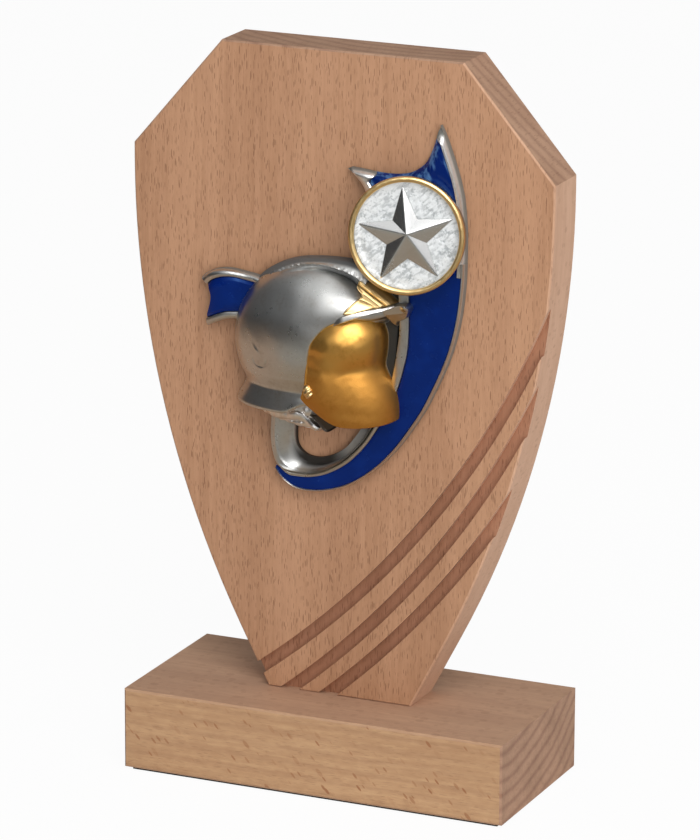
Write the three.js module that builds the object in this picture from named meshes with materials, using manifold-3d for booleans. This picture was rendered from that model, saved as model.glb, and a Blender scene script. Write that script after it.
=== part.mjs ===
// A wooden trophy: a beech shield on a beech block, with a painted relief fixed to its face.
// Millimetres, +Z up, +Y to the back. The origin is under the middle of the block, on the felt.

import * as THREE from 'three';
import { mergeVertices } from 'three/addons/utils/BufferGeometryUtils.js';
import Module from 'manifold-3d';

const wasm = await Module();
wasm.setup();

// Cuts and clearances
const overrun = 2;
const clearance = 0.3;
const grooveLead = 12;

// Block and felt
const baseLength = 100;
const baseDepth = 47.6;
const baseHeight = 20.2;
const baseEase = 0.5;
const feltThickness = 0.8;
const feltInset = 1.6;

// Shield
const shieldWidth = 109.2;
const shieldHeight = 160.2;
const shieldThickness = 13.7;
const shieldTopWidth = 62.4;
const shoulderHeight = 27.2;
const cheekHeight = 3.7;
const footWidth = 37.8;
const footHeight = 14.8;
const shieldEase = 0.4;

// Grooves, each an arc of one radius from the shield's foot to its right edge
const grooveRadius = 227.5;
const grooveWidth = 3.2;
const grooveDepth = 2;
const grooveFootShares = [-0.722, -0.352, -0.085];
const grooveExitShares = [0.607, 0.483, 0.322];

// Wood screws from the block into the shield
const screwSpacing = 17;
const screwLength = 38;
const screwHeadRadius = 3.4;
const screwHeadHeight = 2.2;
const screwCoreRadius = 1.2;
const screwThreadHeight = 0.55;
const screwThreadLength = 21;
const screwPitch = 1.8;
const screwPointLength = 3.2;
const screwSink = 0.8;
const screwCrossWidth = 0.9;
const screwCrossSpan = 3.6;
const screwCrossDepth = 1.3;

// Relief: one drawing module sets the size of its outlines, and heights are over the wood
const reliefModule = 10;
const reliefHeight = 79.55;
const reliefShift = -1.1;
const glueLine = 0.3;
const webHeight = 1.8;
const rimHeight = 3.1;
const enamelDepth = 0.9;
const enamelSink = 0.4;
const domeWidth = 41.6;
const domeHeight = 39.6;
const domeRise = 13;
const domeBottomAngle = THREE.MathUtils.degToRad(-26);
const crownAngle = THREE.MathUtils.degToRad(84);
const padDepth = 0.8;

// Small plates and trim on the helmet
const crestRise = 3.9;
const badgeThickness = 0.6;
const peakThickness = 1.7;
const pivotRadius = 1.5;
const pivotLength = 2.6;
const pivotDome = 0.6;
const pivotCrownShare = 0.8;
const strapThickness = 0.7;

// Medallion
const discRadius = 12.5;
const discThickness = 1;
const discPlay = 0.3;
const starRadius = 11.9;
const starWaistShare = 0.42;
const starRise = 1.9;
const starTurn = THREE.MathUtils.degToRad(5);
const ringRadius = 13.8;
const ringWidth = 1.4;
const ringHeight = 1.3;
const ringLift = 7;
const cupFootRadius = 13.3;
const glueDiscRadius = 10.5;
const glueDiscThickness = 0.4;
const medallionYaw = THREE.MathUtils.degToRad(10);
const medallionPitch = THREE.MathUtils.degToRad(-6);

// Places that follow from the sizes above
const blockBottom = feltThickness;
const blockTop = blockBottom + baseHeight;
const shieldTop = blockTop + shieldHeight;
const shieldFace = -shieldThickness / 2;
const enamelTop = rimHeight - enamelSink;
const enamelFloor = enamelTop - enamelDepth;
const crownHeight = domeRise * 2;
const seatDepth = discThickness + glueDiscThickness + 3 * clearance;

const beech = new THREE.MeshStandardMaterial({ color: 0xbb8c6a, roughness: 0.62, metalness: 0 });
const felt = new THREE.MeshStandardMaterial({ color: 0x2b2a28, roughness: 0.95, metalness: 0 });
const zinc = new THREE.MeshStandardMaterial({ color: 0xb8b9b4, roughness: 0.4, metalness: 1 });
const silver = new THREE.MeshStandardMaterial({ color: 0xa7a8a6, roughness: 0.35, metalness: 0.9 });
const darkSilver = new THREE.MeshStandardMaterial({ color: 0x6f706e, roughness: 0.4, metalness: 0.9 });
const gold = new THREE.MeshStandardMaterial({ color: 0xb9822f, roughness: 0.33, metalness: 0.9 });
const blue = new THREE.MeshStandardMaterial({ color: 0x0a1f7a, roughness: 0.15, metalness: 0 });
const foam = new THREE.MeshStandardMaterial({ color: 0xdcdad2, roughness: 0.9, metalness: 0 });

// Geometry with shared corners merged and collapsed triangles dropped.
function weld(geometry) {
  const bare = geometry.clone();
  bare.deleteAttribute('normal');
  bare.deleteAttribute('uv');
  const merged = mergeVertices(bare);
  const corners = merged.index.array;
  const kept = [];
  for (let i = 0; i < corners.length; i += 3) {
    const [a, b, c] = corners.slice(i, i + 3);
    if (a !== b && b !== c && c !== a) {
      kept.push(a, b, c);
    }
  }
  merged.setIndex(kept);
  return merged;
}

function toSolid(geometry) {
  const welded = weld(geometry);
  const vertProperties = Float32Array.from(welded.attributes.position.array);
  const triVerts = Uint32Array.from(welded.index.array);
  return new wasm.Manifold(new wasm.Mesh({ numProp: 3, vertProperties, triVerts }));
}

function toGeometry(solid) {
  const mesh = solid.getMesh();
  const geometry = new THREE.BufferGeometry();
  const positions = Float32Array.from(mesh.vertProperties);
  geometry.setAttribute('position', new THREE.BufferAttribute(positions, 3));
  geometry.setIndex(Array.from(mesh.triVerts));
  geometry.computeVertexNormals();
  return geometry;
}

function named(name, solid, material) {
  const mesh = new THREE.Mesh(toGeometry(solid), material);
  mesh.name = name;
  return mesh;
}

// A prism over an outline, from one height to another.
function slab(outline, low, high, holes = []) {
  const shape = new THREE.Shape(outline);
  holes.forEach((hole) => shape.holes.push(new THREE.Path(hole)));
  const geometry = new THREE.ExtrudeGeometry(shape, { depth: high - low, bevelEnabled: false });
  geometry.translate(0, 0, low);
  return toSolid(geometry);
}

// A plate with its face edges eased, standing upright: outline across and up, thickness along Y.
function easedPlate(outline, thickness, ease) {
  const geometry = new THREE.ExtrudeGeometry(new THREE.Shape(outline), {
    depth: thickness - 2 * ease,
    bevelThickness: ease,
    bevelSize: ease,
    bevelOffset: -ease,
    bevelSegments: 1,
  });
  geometry.translate(0, 0, ease - thickness / 2);
  geometry.rotateX(Math.PI / 2);
  return toSolid(geometry);
}

// A profile of [radius, height] pairs turned about the Z axis, then moved to its place.
function turned(profile, sides, place = new THREE.Matrix4()) {
  const points = profile.map(([radius, height]) => new THREE.Vector2(radius, height));
  const geometry = new THREE.LatheGeometry(points, sides);
  geometry.rotateX(Math.PI / 2);
  geometry.applyMatrix4(place);
  return toSolid(geometry);
}

function moved(x, y, z) {
  return new THREE.Matrix4().makeTranslation(x, y, z);
}

// Rings of equal point counts joined into one closed body, with a fan over each end.
function joinedRings(rings) {
  const sides = rings[0].length;
  const vertices = rings.flat();
  const faces = [];
  for (let k = 0; k + 1 < rings.length; k += 1) {
    for (let i = 0; i < sides; i += 1) {
      const a = k * sides + i;
      const b = k * sides + ((i + 1) % sides);
      faces.push(a, b, b + sides, a, b + sides, a + sides);
    }
  }
  const last = (rings.length - 1) * sides;
  for (let i = 1; i + 1 < sides; i += 1) {
    faces.push(0, i + 1, i);
    faces.push(last, last + i, last + i + 1);
  }
  const geometry = new THREE.BufferGeometry();
  geometry.setAttribute('position', new THREE.Float32BufferAttribute(vertices.flat(), 3));
  geometry.setIndex(faces);
  return toSolid(geometry);
}

// The outline moved outwards by a distance, or inwards where it is negative.
function grown(outline, distance) {
  const count = outline.length;
  const side = Math.sign(THREE.ShapeUtils.area(outline));
  return outline.map((point, i) => {
    const before = point.clone().sub(outline[(i + count - 1) % count]).normalize();
    const after = outline[(i + 1) % count].clone().sub(point).normalize();
    const along = before.clone().add(after).normalize();
    const stretch = Math.max(along.dot(after), Math.SQRT1_2);
    const out = new THREE.Vector2(along.y, -along.x).multiplyScalar((side * distance) / stretch);
    return point.clone().add(out);
  });
}

// Outline points of the relief, from shares of the drawing module.
function drawn(shares) {
  return shares.map(([across, up]) => new THREE.Vector2(across, up).multiplyScalar(reliefModule));
}

// Each side of the shield is an arc, upright at the cheek, that runs on straight to the foot.
const cheekBottom = shieldTop - shoulderHeight - cheekHeight;
const straightTop = blockTop + footHeight;
const arcHeight = cheekBottom - straightTop;
const sideRadius = solvedSideRadius();

function footHalfWidth(radius) {
  const reach = Math.sqrt(radius ** 2 - arcHeight ** 2);
  return shieldWidth / 2 - radius + reach - (arcHeight * footHeight) / reach;
}

// The radius at which the straight part ends at the foot's width, found by halving.
function solvedSideRadius() {
  let tight = arcHeight;
  let wide = arcHeight ** 2 / (shieldWidth - footWidth) + shieldHeight * arcHeight / footHeight;
  for (let i = 0; i < 60; i += 1) {
    const middle = (tight + wide) / 2;
    if (footHalfWidth(middle) < footWidth / 2) {
      tight = middle;
    } else {
      wide = middle;
    }
  }
  return wide;
}

function shieldHalfWidth(height) {
  if (height < straightTop) {
    const climb = (height - blockTop) / footHeight;
    return THREE.MathUtils.lerp(footWidth / 2, shieldHalfWidth(straightTop), climb);
  }
  const drop = cheekBottom - Math.min(height, cheekBottom);
  return shieldWidth / 2 - sideRadius + Math.sqrt(sideRadius ** 2 - drop ** 2);
}

// Shield outline, anticlockwise from the right of its foot.
function shieldOutline() {
  const arcSteps = 22;
  const side = [new THREE.Vector2(footWidth / 2, blockTop)];
  for (let i = 0; i <= arcSteps; i += 1) {
    const height = THREE.MathUtils.lerp(straightTop, cheekBottom, i / arcSteps);
    side.push(new THREE.Vector2(shieldHalfWidth(height), height));
  }
  side.push(new THREE.Vector2(shieldWidth / 2, shieldTop - shoulderHeight));
  side.push(new THREE.Vector2(shieldTopWidth / 2, shieldTop));
  const mirrored = side.map((point) => new THREE.Vector2(-point.x, point.y)).reverse();
  return [...side, ...mirrored];
}

// One groove's cutter: an arc band through its foot and its exit at the right edge.
function grooveCutter(footShare, exitShare) {
  const foot = new THREE.Vector2(footShare * footWidth, blockTop);
  const exitHeight = blockTop + exitShare * shieldHeight;
  const exit = new THREE.Vector2(shieldHalfWidth(exitHeight), exitHeight);
  const chord = exit.clone().sub(foot);
  const rise = Math.sqrt(grooveRadius ** 2 - (chord.length() / 2) ** 2);
  const centre = foot.clone().add(exit).multiplyScalar(0.5);
  centre.add(new THREE.Vector2(-chord.y, chord.x).normalize().multiplyScalar(rise));
  const lead = grooveLead / grooveRadius;
  const start = foot.clone().sub(centre).angle() - 2 * lead;
  const end = exit.clone().sub(centre).angle() + lead;
  const arcSteps = 26;
  const edge = (radius) => Array.from({ length: arcSteps + 1 }, (_, i) => {
    const angle = THREE.MathUtils.lerp(start, end < start ? end + 2 * Math.PI : end, i / arcSteps);
    return new THREE.Vector2(radius, 0).rotateAround(new THREE.Vector2(), angle).add(centre);
  });
  const outer = edge(grooveRadius + grooveWidth / 2);
  const inner = edge(grooveRadius - grooveWidth / 2).reverse();
  const band = [...outer, ...inner];
  const geometry = new THREE.ExtrudeGeometry(new THREE.Shape(band), {
    depth: grooveDepth + overrun,
    bevelEnabled: false,
  });
  geometry.rotateX(Math.PI / 2);
  geometry.translate(0, shieldFace + grooveDepth, 0);
  return toSolid(geometry);
}

function screwPlaces() {
  return [-screwSpacing / 2, screwSpacing / 2];
}

const screwHeadBottom = blockBottom + screwSink;
const screwTip = screwHeadBottom + screwLength;

// The block, with a countersunk hole up through it for each screw.
function baseBlock() {
  const half = baseLength / 2;
  const outline = [
    [half, blockBottom], [half, blockTop], [-half, blockTop], [-half, blockBottom],
  ].map(([x, z]) => new THREE.Vector2(x, z));
  let body = easedPlate(outline, baseDepth, baseEase);
  const shankHole = screwCoreRadius + screwThreadHeight + clearance;
  const mouth = screwHeadRadius + clearance;
  const seat = screwHeadBottom + screwHeadHeight;
  screwPlaces().forEach((x) => {
    const hole = turned([
      [0, blockBottom - overrun],
      [mouth, blockBottom - overrun],
      [mouth, screwHeadBottom],
      [shankHole, seat],
      [shankHole, blockTop + overrun],
      [0, blockTop + overrun],
    ], 24, moved(x, 0, 0));
    body = body.subtract(hole);
  });
  return body;
}

function shieldPanel() {
  let panel = easedPlate(shieldOutline(), shieldThickness, shieldEase);
  grooveFootShares.forEach((footShare, i) => {
    panel = panel.subtract(grooveCutter(footShare, grooveExitShares[i]));
  });
  const pilot = screwCoreRadius + screwThreadHeight + clearance;
  screwPlaces().forEach((x) => {
    const hole = turned([
      [0, blockTop - overrun],
      [pilot, blockTop - overrun],
      [pilot, screwTip - screwPointLength],
      [0, screwTip + clearance],
    ], 20, moved(x, 0, 0));
    panel = panel.subtract(hole);
  });
  return panel;
}

function baseFelt() {
  const outline = [[1, 1], [-1, 1], [-1, -1], [1, -1]].map(([x, y]) => new THREE.Vector2(
    x * (baseLength / 2 - feltInset),
    y * (baseDepth / 2 - feltInset),
  ));
  return slab(outline, 0, feltThickness);
}

// A countersunk wood screw, head down: a threaded core under a flat head with a cross recess.
function woodScrew() {
  const sides = 12;
  const shankTop = screwTip - screwPointLength;
  const threadBottom = shankTop - screwThreadLength + screwPointLength;
  const ringAt = (height, radiusAt) => Array.from({ length: sides }, (_, i) => {
    const angle = (i / sides) * 2 * Math.PI;
    const radius = radiusAt(angle);
    return [radius * Math.cos(angle), radius * Math.sin(angle), height];
  });
  const rings = [
    ringAt(screwHeadBottom, () => screwHeadRadius),
    ringAt(screwHeadBottom + screwHeadHeight, () => screwCoreRadius),
    ringAt(threadBottom, () => screwCoreRadius),
  ];
  const stepsPerTurn = 4;
  const threadSteps = Math.round((stepsPerTurn * (shankTop - threadBottom)) / screwPitch);
  for (let k = 1; k <= threadSteps; k += 1) {
    const height = THREE.MathUtils.lerp(threadBottom, shankTop, k / threadSteps);
    rings.push(ringAt(height, (angle) => {
      const phase = (height - threadBottom) / screwPitch - angle / (2 * Math.PI);
      const ridge = 1 - Math.abs(2 * (phase - Math.floor(phase)) - 1);
      return screwCoreRadius + screwThreadHeight * ridge ** 2;
    }));
  }
  rings.push(ringAt(screwTip - clearance, () => screwCoreRadius / sides));
  let screw = joinedRings(rings);
  [[screwCrossSpan, screwCrossWidth], [screwCrossWidth, screwCrossSpan]].forEach(([width, depth]) => {
    const slot = new THREE.BoxGeometry(width, depth, 2 * screwCrossDepth);
    slot.translate(0, 0, screwHeadBottom);
    screw = screw.subtract(toSolid(slot));
  });
  return screw;
}

// Outlines of the relief as seen square to the wood: [across, up] in drawing modules.
const ribbonShares = [
  [2.72, 6.55], [2.92, 6.15], [3.05, 5.8], [3.17, 5.45], [3.27, 5.1], [3.34, 4.75], [3.4, 4.1],
  [3.41, 3.5], [3.38, 2.7], [3.28, 1.9], [3.11, 1.2], [2.91, 0.65], [2.66, 0.1], [2.41, -0.4],
  [2.11, -0.87], [1.81, -1.3], [1.51, -1.66], [1.2, -1.97], [0.85, -2.25], [0.48, -2.48],
  [0.12, -2.63], [-0.28, -2.73], [-0.68, -2.76], [-0.98, -2.71], [-1.18, -2.6], [-1.33, -2.45],
  [-1.44, -2.25], [-1.52, -1.91], [-1.56, -1.6], [-1.57, -1.3], [-1.55, -0.9], [-1.6, -0.4],
  [-1.8, 0.2], [-1.9, 1], [-1.6, 1.9], [-0.9, 2.45], [0, 2.6], [0.5, 2.7], [0.6, 3.1],
  [0.55, 3.6], [0.62, 4.2], [0.8, 4.62], [0.84, 4.78], [0.72, 5], [0.57, 5.16], [0.36, 5.29],
  [0.48, 5.33], [0.66, 5.31], [0.88, 5.28], [1.2, 5.26], [1.5, 5.26], [1.9, 5.32], [2.08, 5.4],
  [2.25, 5.52], [2.38, 5.67], [2.52, 5.97], [2.61, 6.24], [2.66, 6.4],
];
const loopHoleShares = [
  [-0.97, -1.4], [-0.95, -1.6], [-0.88, -1.74], [-0.75, -1.85], [-0.6, -1.91], [-0.4, -1.92],
  [-0.2, -1.88], [0, -1.8], [0.2, -1.68], [0.4, -1.52], [0.58, -1.3], [0.74, -1.06], [0.8, -0.9],
  [0.5, -0.78], [0, -0.74], [-0.5, -0.8], [-0.85, -1],
];
const tailShares = [
  [-1.4, 2.1], [-1.93, 2.41], [-2.3, 2.46], [-2.7, 2.53], [-3.1, 2.47], [-3.3, 2.38], [-3.46, 2.25],
  [-3.31, 2.11], [-3.2, 2], [-3.13, 1.86], [-3.16, 1.69], [-3.21, 1.54], [-3.26, 1.4],
  [-3.3, 1.26], [-3.29, 1.07], [-3.15, 1.13], [-2.96, 1.22], [-2.76, 1.29], [-2.5, 1.31],
  [-1.7, 1.3],
];
const swallowtailEnamelShares = [
  [0.95, 5.2], [1.2, 5.18], [1.5, 5.18], [1.88, 5.23], [2.1, 5.32], [2.28, 5.47], [2.42, 5.65],
  [2.57, 5.93], [2.65, 6.15], [2.77, 5.98], [2.89, 5.7], [3.02, 5.3], [3.08, 4.9], [2.6, 4.5],
  [1.9, 4.6], [1.3, 4.7], [1.08, 4.92],
];
const sweepEnamelShares = [
  [3.3, 3.3], [3.31, 2.68], [3.21, 1.9], [3.04, 1.22], [2.84, 0.67], [2.6, 0.13], [2.35, -0.37],
  [2.05, -0.83], [1.75, -1.26], [1.46, -1.61], [1.16, -1.91], [0.82, -2.18], [0.45, -2.41],
  [0.1, -2.56], [-0.29, -2.66], [-0.67, -2.69], [-0.96, -2.64], [-1.14, -2.54], [-1.27, -2.4],
  [-1.36, -2.24], [-1.24, -2.34], [-1.09, -2.4], [-0.69, -2.4], [-0.49, -2.36], [-0.19, -2.25],
  [0.12, -2.08], [0.42, -1.86], [0.62, -1.67], [0.82, -1.45], [1.02, -1.2], [1.25, -0.88], [1.52, -0.38],
  [1.78, 0.24], [1.86, 0.52], [1.93, 0.8], [1.97, 1.1], [1.99, 1.5], [1.99, 2.4], [2.1, 2.9],
];
const tailEnamelShares = [
  [-3.16, 2.16], [-3, 2.3], [-2.7, 2.38], [-2.4, 2.37], [-2.1, 2.28], [-1.9, 2.1], [-2, 1.7],
  [-2.2, 1.46], [-2.5, 1.5], [-2.7, 1.54], [-2.9, 1.52], [-3.08, 1.46], [-3.12, 1.6],
  [-3.06, 1.86], [-3.1, 2.02],
];
const visorShares = [
  [0, -0.5], [-0.22, -0.33], [-0.38, -0.14], [-0.34, -0.02], [-0.26, 0.17], [-0.24, 0.49],
  [-0.22, 0.8], [-0.2, 1], [-0.17, 1.2], [-0.09, 1.4], [0.08, 1.58], [0.29, 1.72], [0.62, 1.84],
  [0.93, 1.9], [1.15, 1.89], [1.32, 1.7], [1.44, 1.45], [1.46, 1.15], [1.43, 0.85], [1.39, 0.65],
  [1.49, 0.43], [1.62, 0.23], [1.72, 0], [1.77, -0.25], [1.79, -0.5], [1.78, -0.67], [1.45, -0.73],
  [1, -0.77], [0.6, -0.76], [0.3, -0.67],
];
const peakShares = [
  [0.5, 1.9], [0.8, 1.97], [1.1, 2.05], [1.26, 1.98], [1.4, 1.74], [1.5, 1.56], [1.62, 1.7],
  [1.76, 1.83], [1.92, 1.97], [1.95, 2.12], [1.7, 2.2], [1.4, 2.13], [1.1, 2.08], [0.8, 2.02],
];
const badgeShares = [
  [0.52, 1.98], [0.8, 2.07], [1.1, 2.13], [1.38, 2.18], [1.6, 2.25], [1.66, 2.34], [1.36, 2.5],
  [1.12, 2.64], [0.98, 2.5], [0.78, 2.3], [0.6, 2.12],
];
const crestShares = [
  [-1.7, 2.61], [-1.4, 2.79], [-1.1, 2.92], [-0.8, 3], [-0.5, 3.04], [-0.2, 3.05], [0.1, 3.04],
  [0.35, 2.98], [0.6, 2.87], [0.85, 2.7], [0.93, 2.6], [0.76, 2.46], [0.64, 2.55], [0.4, 2.7],
  [0.08, 2.81], [-0.3, 2.89], [-0.8, 2.82], [-1.2, 2.68], [-1.5, 2.53],
];
const strapShares = [
  [-0.8, -0.62], [-0.62, -0.58], [-0.3, -0.75], [-0.02, -0.93], [-0.12, -1.02], [-0.45, -0.9],
];
const pivotPlaceShares = [-0.2, 0.06];

// Half-round forms stand on the wood: levels of [up, left, right, rise] in drawing modules.
const neckLevelShares = [
  [-0.6, -2.46, 0.9, 0.92], [-0.45, -2.4, 0.95, 0.94], [-0.3, -2.31, 1.05, 0.97],
  [-0.14, -2.29, 1.2, 1.05],
];
const domeCentreShares = [-0.5, 0.98];
const browReachShare = 0.12;
const browBandShares = [1.6, 2.6];
const visorLevelShares = [
  [-0.78, -2.2, 1.78, 1.08], [-0.5, -2.2, 1.8, 1.14], [-0.2, -2.25, 1.77, 1.2],
  [0.05, -2.3, 1.7, 1.22], [0.25, -2.35, 1.6, 1.22], [0.45, -2.4, 1.48, 1.23],
  [0.65, -2.45, 1.4, 1.27], [0.9, -2.5, 1.44, 1.33], [1.2, -2.5, 1.47, 1.36],
  [1.5, -2.4, 1.44, 1.34], [1.7, -2.3, 1.33, 1.28], [1.95, -2.1, 1.16, 1.2],
];
const curtainLevelShares = [
  [-1.05, -0.9, 0.3, 0.68], [-0.95, -1.6, 0.42, 0.76], [-0.85, -1.85, 0.48, 0.8],
  [-0.6, -1.95, 0.5, 0.82],
];

// Levels of [up, left, right, rise] in millimetres, from shares.
function levelsFrom(shares) {
  return shares.map((level) => level.map((share) => share * reliefModule));
}

function domeLevels() {
  const [acrossShare, upShare] = domeCentreShares;
  const across = acrossShare * reliefModule;
  const up = upShare * reliefModule;
  const [browLow, browHigh] = browBandShares.map((share) => share * reliefModule);
  const steps = 9;
  const levels = [];
  for (let i = 0; i < steps; i += 1) {
    const angle = THREE.MathUtils.lerp(domeBottomAngle, crownAngle, i / (steps - 1));
    const level = up + (domeHeight / 2) * Math.sin(angle);
    const half = (domeWidth / 2) * Math.cos(angle);
    const inBand = (2 * level - browLow - browHigh) / (browHigh - browLow);
    const brow = browReachShare * domeWidth * Math.max(0, 1 - inBand ** 2);
    levels.push([level, across - half, across + half + brow, domeRise * Math.cos(angle)]);
  }
  return [...levelsFrom(neckLevelShares), ...levels];
}

// A half-round body over its levels, swollen by a distance, that stands from the wood.
function halfRound(levels, swell = 0) {
  const arcSteps = 16;
  const ends = { 0: -swell, [levels.length - 1]: swell };
  const rings = levels.map(([up, left, right, rise], k) => {
    const centre = (left + right) / 2;
    const half = (right - left) / 2 + swell;
    const level = up + (ends[k] ?? 0);
    const arc = Array.from({ length: arcSteps + 1 }, (_, i) => {
      const angle = Math.PI * (1 - i / arcSteps);
      return [centre + half * Math.cos(angle), level, (rise + swell) * Math.sin(angle)];
    });
    return [[centre + half, level, -overrun], [centre - half, level, -overrun], ...arc];
  });
  return joinedRings(rings);
}

function above(height) {
  return layer(height, crownHeight);
}

function below(height) {
  return layer(-crownHeight, height);
}

// A wide layer over the whole relief, between two heights.
function layer(low, high) {
  const reach = 2 * shieldWidth;
  const geometry = new THREE.BoxGeometry(reach, reach, high - low);
  geometry.translate(0, 0, (low + high) / 2);
  return toSolid(geometry);
}

function prism(shares, distance = 0) {
  return slab(grown(drawn(shares), distance), -crownHeight, crownHeight);
}

// The medallion's own frame: its middle, tipped towards the viewer's right and up.
const medallionPlaceShares = [2.136, 3.97];
const cupFootPlaceShares = [1.79, 3.68];

function medallionFrame() {
  const frame = new THREE.Group();
  const [across, up] = medallionPlaceShares.map((share) => share * reliefModule);
  frame.position.set(across, up, ringLift);
  frame.rotation.set(medallionPitch, medallionYaw, 0);
  frame.updateMatrix();
  return frame;
}

// The cup's outside: a ruled skin from a circle on the web to the tipped wall under the ring.
function cupForm(swell) {
  const sides = 40;
  const frame = medallionFrame();
  const circle = (radius, across, up, level) => Array.from({ length: sides }, (_, i) => {
    const angle = (i / sides) * 2 * Math.PI;
    return new THREE.Vector3(across + radius * Math.cos(angle), up + radius * Math.sin(angle), level);
  });
  const wall = ringRadius - clearance + swell;
  const tipped = [-seatDepth - swell, swell].map((level) => {
    return circle(wall, 0, 0, level).map((point) => point.applyMatrix4(frame.matrix).toArray());
  });
  const [across, up] = cupFootPlaceShares.map((share) => share * reliefModule);
  const foot = circle(cupFootRadius + swell, across, up, webHeight - swell);
  return joinedRings([foot.map((point) => point.toArray()), ...tipped]);
}

// A plate's form: the skin of the dome swollen outwards, within the plate's outline.
function domePlate(shares, thickness, swell) {
  const skin = halfRound(domeLevels(), clearance + thickness + swell);
  return skin.intersect(prism(shares, swell));
}

function curtainForm(swell) {
  return halfRound(levelsFrom(curtainLevelShares), swell);
}

// Each form that stands on the web, swollen where it is used as a cutter.
const forms = {
  dome: (swell) => halfRound(domeLevels(), swell),
  visor: (swell) => halfRound(levelsFrom(visorLevelShares), swell).intersect(prism(visorShares, swell)),
  curtain: curtainForm,
  strap: (swell) => curtainForm(clearance + strapThickness + swell).intersect(prism(strapShares, swell)),
  crest: (swell) => prism(crestShares, swell).intersect(below(crestRise + swell)),
  badge: (swell) => domePlate(badgeShares, badgeThickness, swell),
  peak: (swell) => domePlate(peakShares, peakThickness, swell),
  cup: cupForm,
};

// What is left of a body where each named form, swollen by the clearance, is cut away.
function clearOf(body, ...names) {
  return names.reduce((rest, name) => rest.subtract(forms[name](clearance)), body);
}

// Everything of the ribbon, the tail and the web, before the pieces that stand on it are cut out.
function castingOutlines(distance, low, high) {
  const hole = grown(drawn(loopHoleShares), -distance);
  const ribbon = slab(grown(drawn(ribbonShares), distance), low, high, [hole]);
  return ribbon.add(slab(grown(drawn(tailShares), distance), low, high));
}

const padPlaceShares = {
  adhesive_pad_upper: { middle: [2.0, 4.0], size: [1.6, 1.5] },
  adhesive_pad_lower: { middle: [0, 1.2], size: [2, 1.3] },
  adhesive_pad_tail: { middle: [-2.75, 1.92], size: [0.5, 0.45] },
};

function padOutline({ middle, size }) {
  const corners = [[1, 1], [-1, 1], [-1, -1], [1, -1]];
  return drawn(corners.map(([x, y]) => [middle[0] + (x * size[0]) / 2, middle[1] + (y * size[1]) / 2]));
}

function adhesivePad(place) {
  return slab(padOutline(place), 0, glueLine + padDepth);
}

function ribbonCasting() {
  let casting = castingOutlines(0, glueLine, rimHeight);
  Object.values(forms).forEach((form) => {
    casting = casting.subtract(form(clearance).intersect(above(webHeight)));
  });
  [swallowtailEnamelShares, sweepEnamelShares, tailEnamelShares].forEach((shares) => {
    casting = casting.subtract(slab(grown(drawn(shares), clearance), enamelFloor, rimHeight + overrun));
  });
  Object.values(padPlaceShares).forEach((place) => {
    casting = casting.subtract(slab(grown(padOutline(place), clearance), -overrun, glueLine + padDepth));
  });
  return casting;
}

function enamel(shares) {
  return clearOf(slab(drawn(shares), enamelFloor, enamelTop), ...Object.keys(forms));
}

// The shell: the dome and its neck, notched over the casting and open where the visor sits.
function helmetShell() {
  let shell = forms.dome(0).intersect(above(glueLine));
  shell = shell.subtract(castingOutlines(clearance, -overrun, webHeight));
  shell = shell.subtract(prism(visorShares, clearance)).subtract(prism(crestShares, clearance));
  return clearOf(shell, 'cup').subtract(pivotCutter());
}

function helmetCrest() {
  const crest = prism(crestShares).intersect(layer(webHeight, crestRise));
  return clearOf(crest, 'cup', 'badge', 'peak');
}

function browBadge() {
  const badge = forms.badge(0).intersect(above(webHeight));
  return clearOf(badge, 'dome', 'cup');
}

function browPeak() {
  const peak = forms.peak(0).intersect(above(webHeight));
  return clearOf(peak, 'dome', 'badge', 'visor', 'cup');
}

function helmetVisor() {
  return forms.visor(0).intersect(above(webHeight)).subtract(pivotCutter());
}

function pivotPlace() {
  const [across, up] = pivotPlaceShares.map((share) => share * reliefModule);
  return moved(across, up, domeRise - pivotLength);
}

// The hole for the pivot, open to the front.
function pivotCutter() {
  const radius = pivotRadius + clearance;
  const profile = [[0, 0], [radius, 0], [radius, crownHeight], [0, crownHeight]];
  return turned(profile, 20, pivotPlace());
}

function visorPivot() {
  const shoulder = pivotLength - pivotDome;
  return turned([
    [0, 0],
    [pivotRadius, 0],
    [pivotRadius, shoulder],
    [pivotRadius * pivotCrownShare, shoulder + pivotDome * pivotCrownShare],
    [0, pivotLength],
  ], 20, pivotPlace());
}

// The lining stands under the shell, on the casting.
function neckCurtain() {
  return clearOf(curtainForm(0).intersect(above(webHeight)), 'dome', 'visor');
}

function chinStrap() {
  return clearOf(forms.strap(0).intersect(above(webHeight)), 'curtain', 'dome', 'visor');
}

// The cup, with a flat recess in the tipped frame for the adhesive and the disc.
function medallionCup() {
  const radius = discRadius + discPlay;
  const profile = [[0, -seatDepth], [radius, -seatDepth], [radius, overrun], [0, overrun]];
  return cupForm(0).subtract(turned(profile, 48, medallionFrame().matrix));
}

// Pieces in the medallion's own frame, from the recess floor up.
function glueDisc() {
  const floor = clearance - seatDepth;
  const top = floor + glueDiscThickness;
  return turned([[0, floor], [glueDiscRadius, floor], [glueDiscRadius, top], [0, top]], 32);
}

function starDisc() {
  const top = -clearance;
  const floor = top - discThickness;
  const disc = turned([[0, floor], [discRadius, floor], [discRadius, top], [0, top]], 48);
  return disc.add(raisedStar(top));
}

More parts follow.
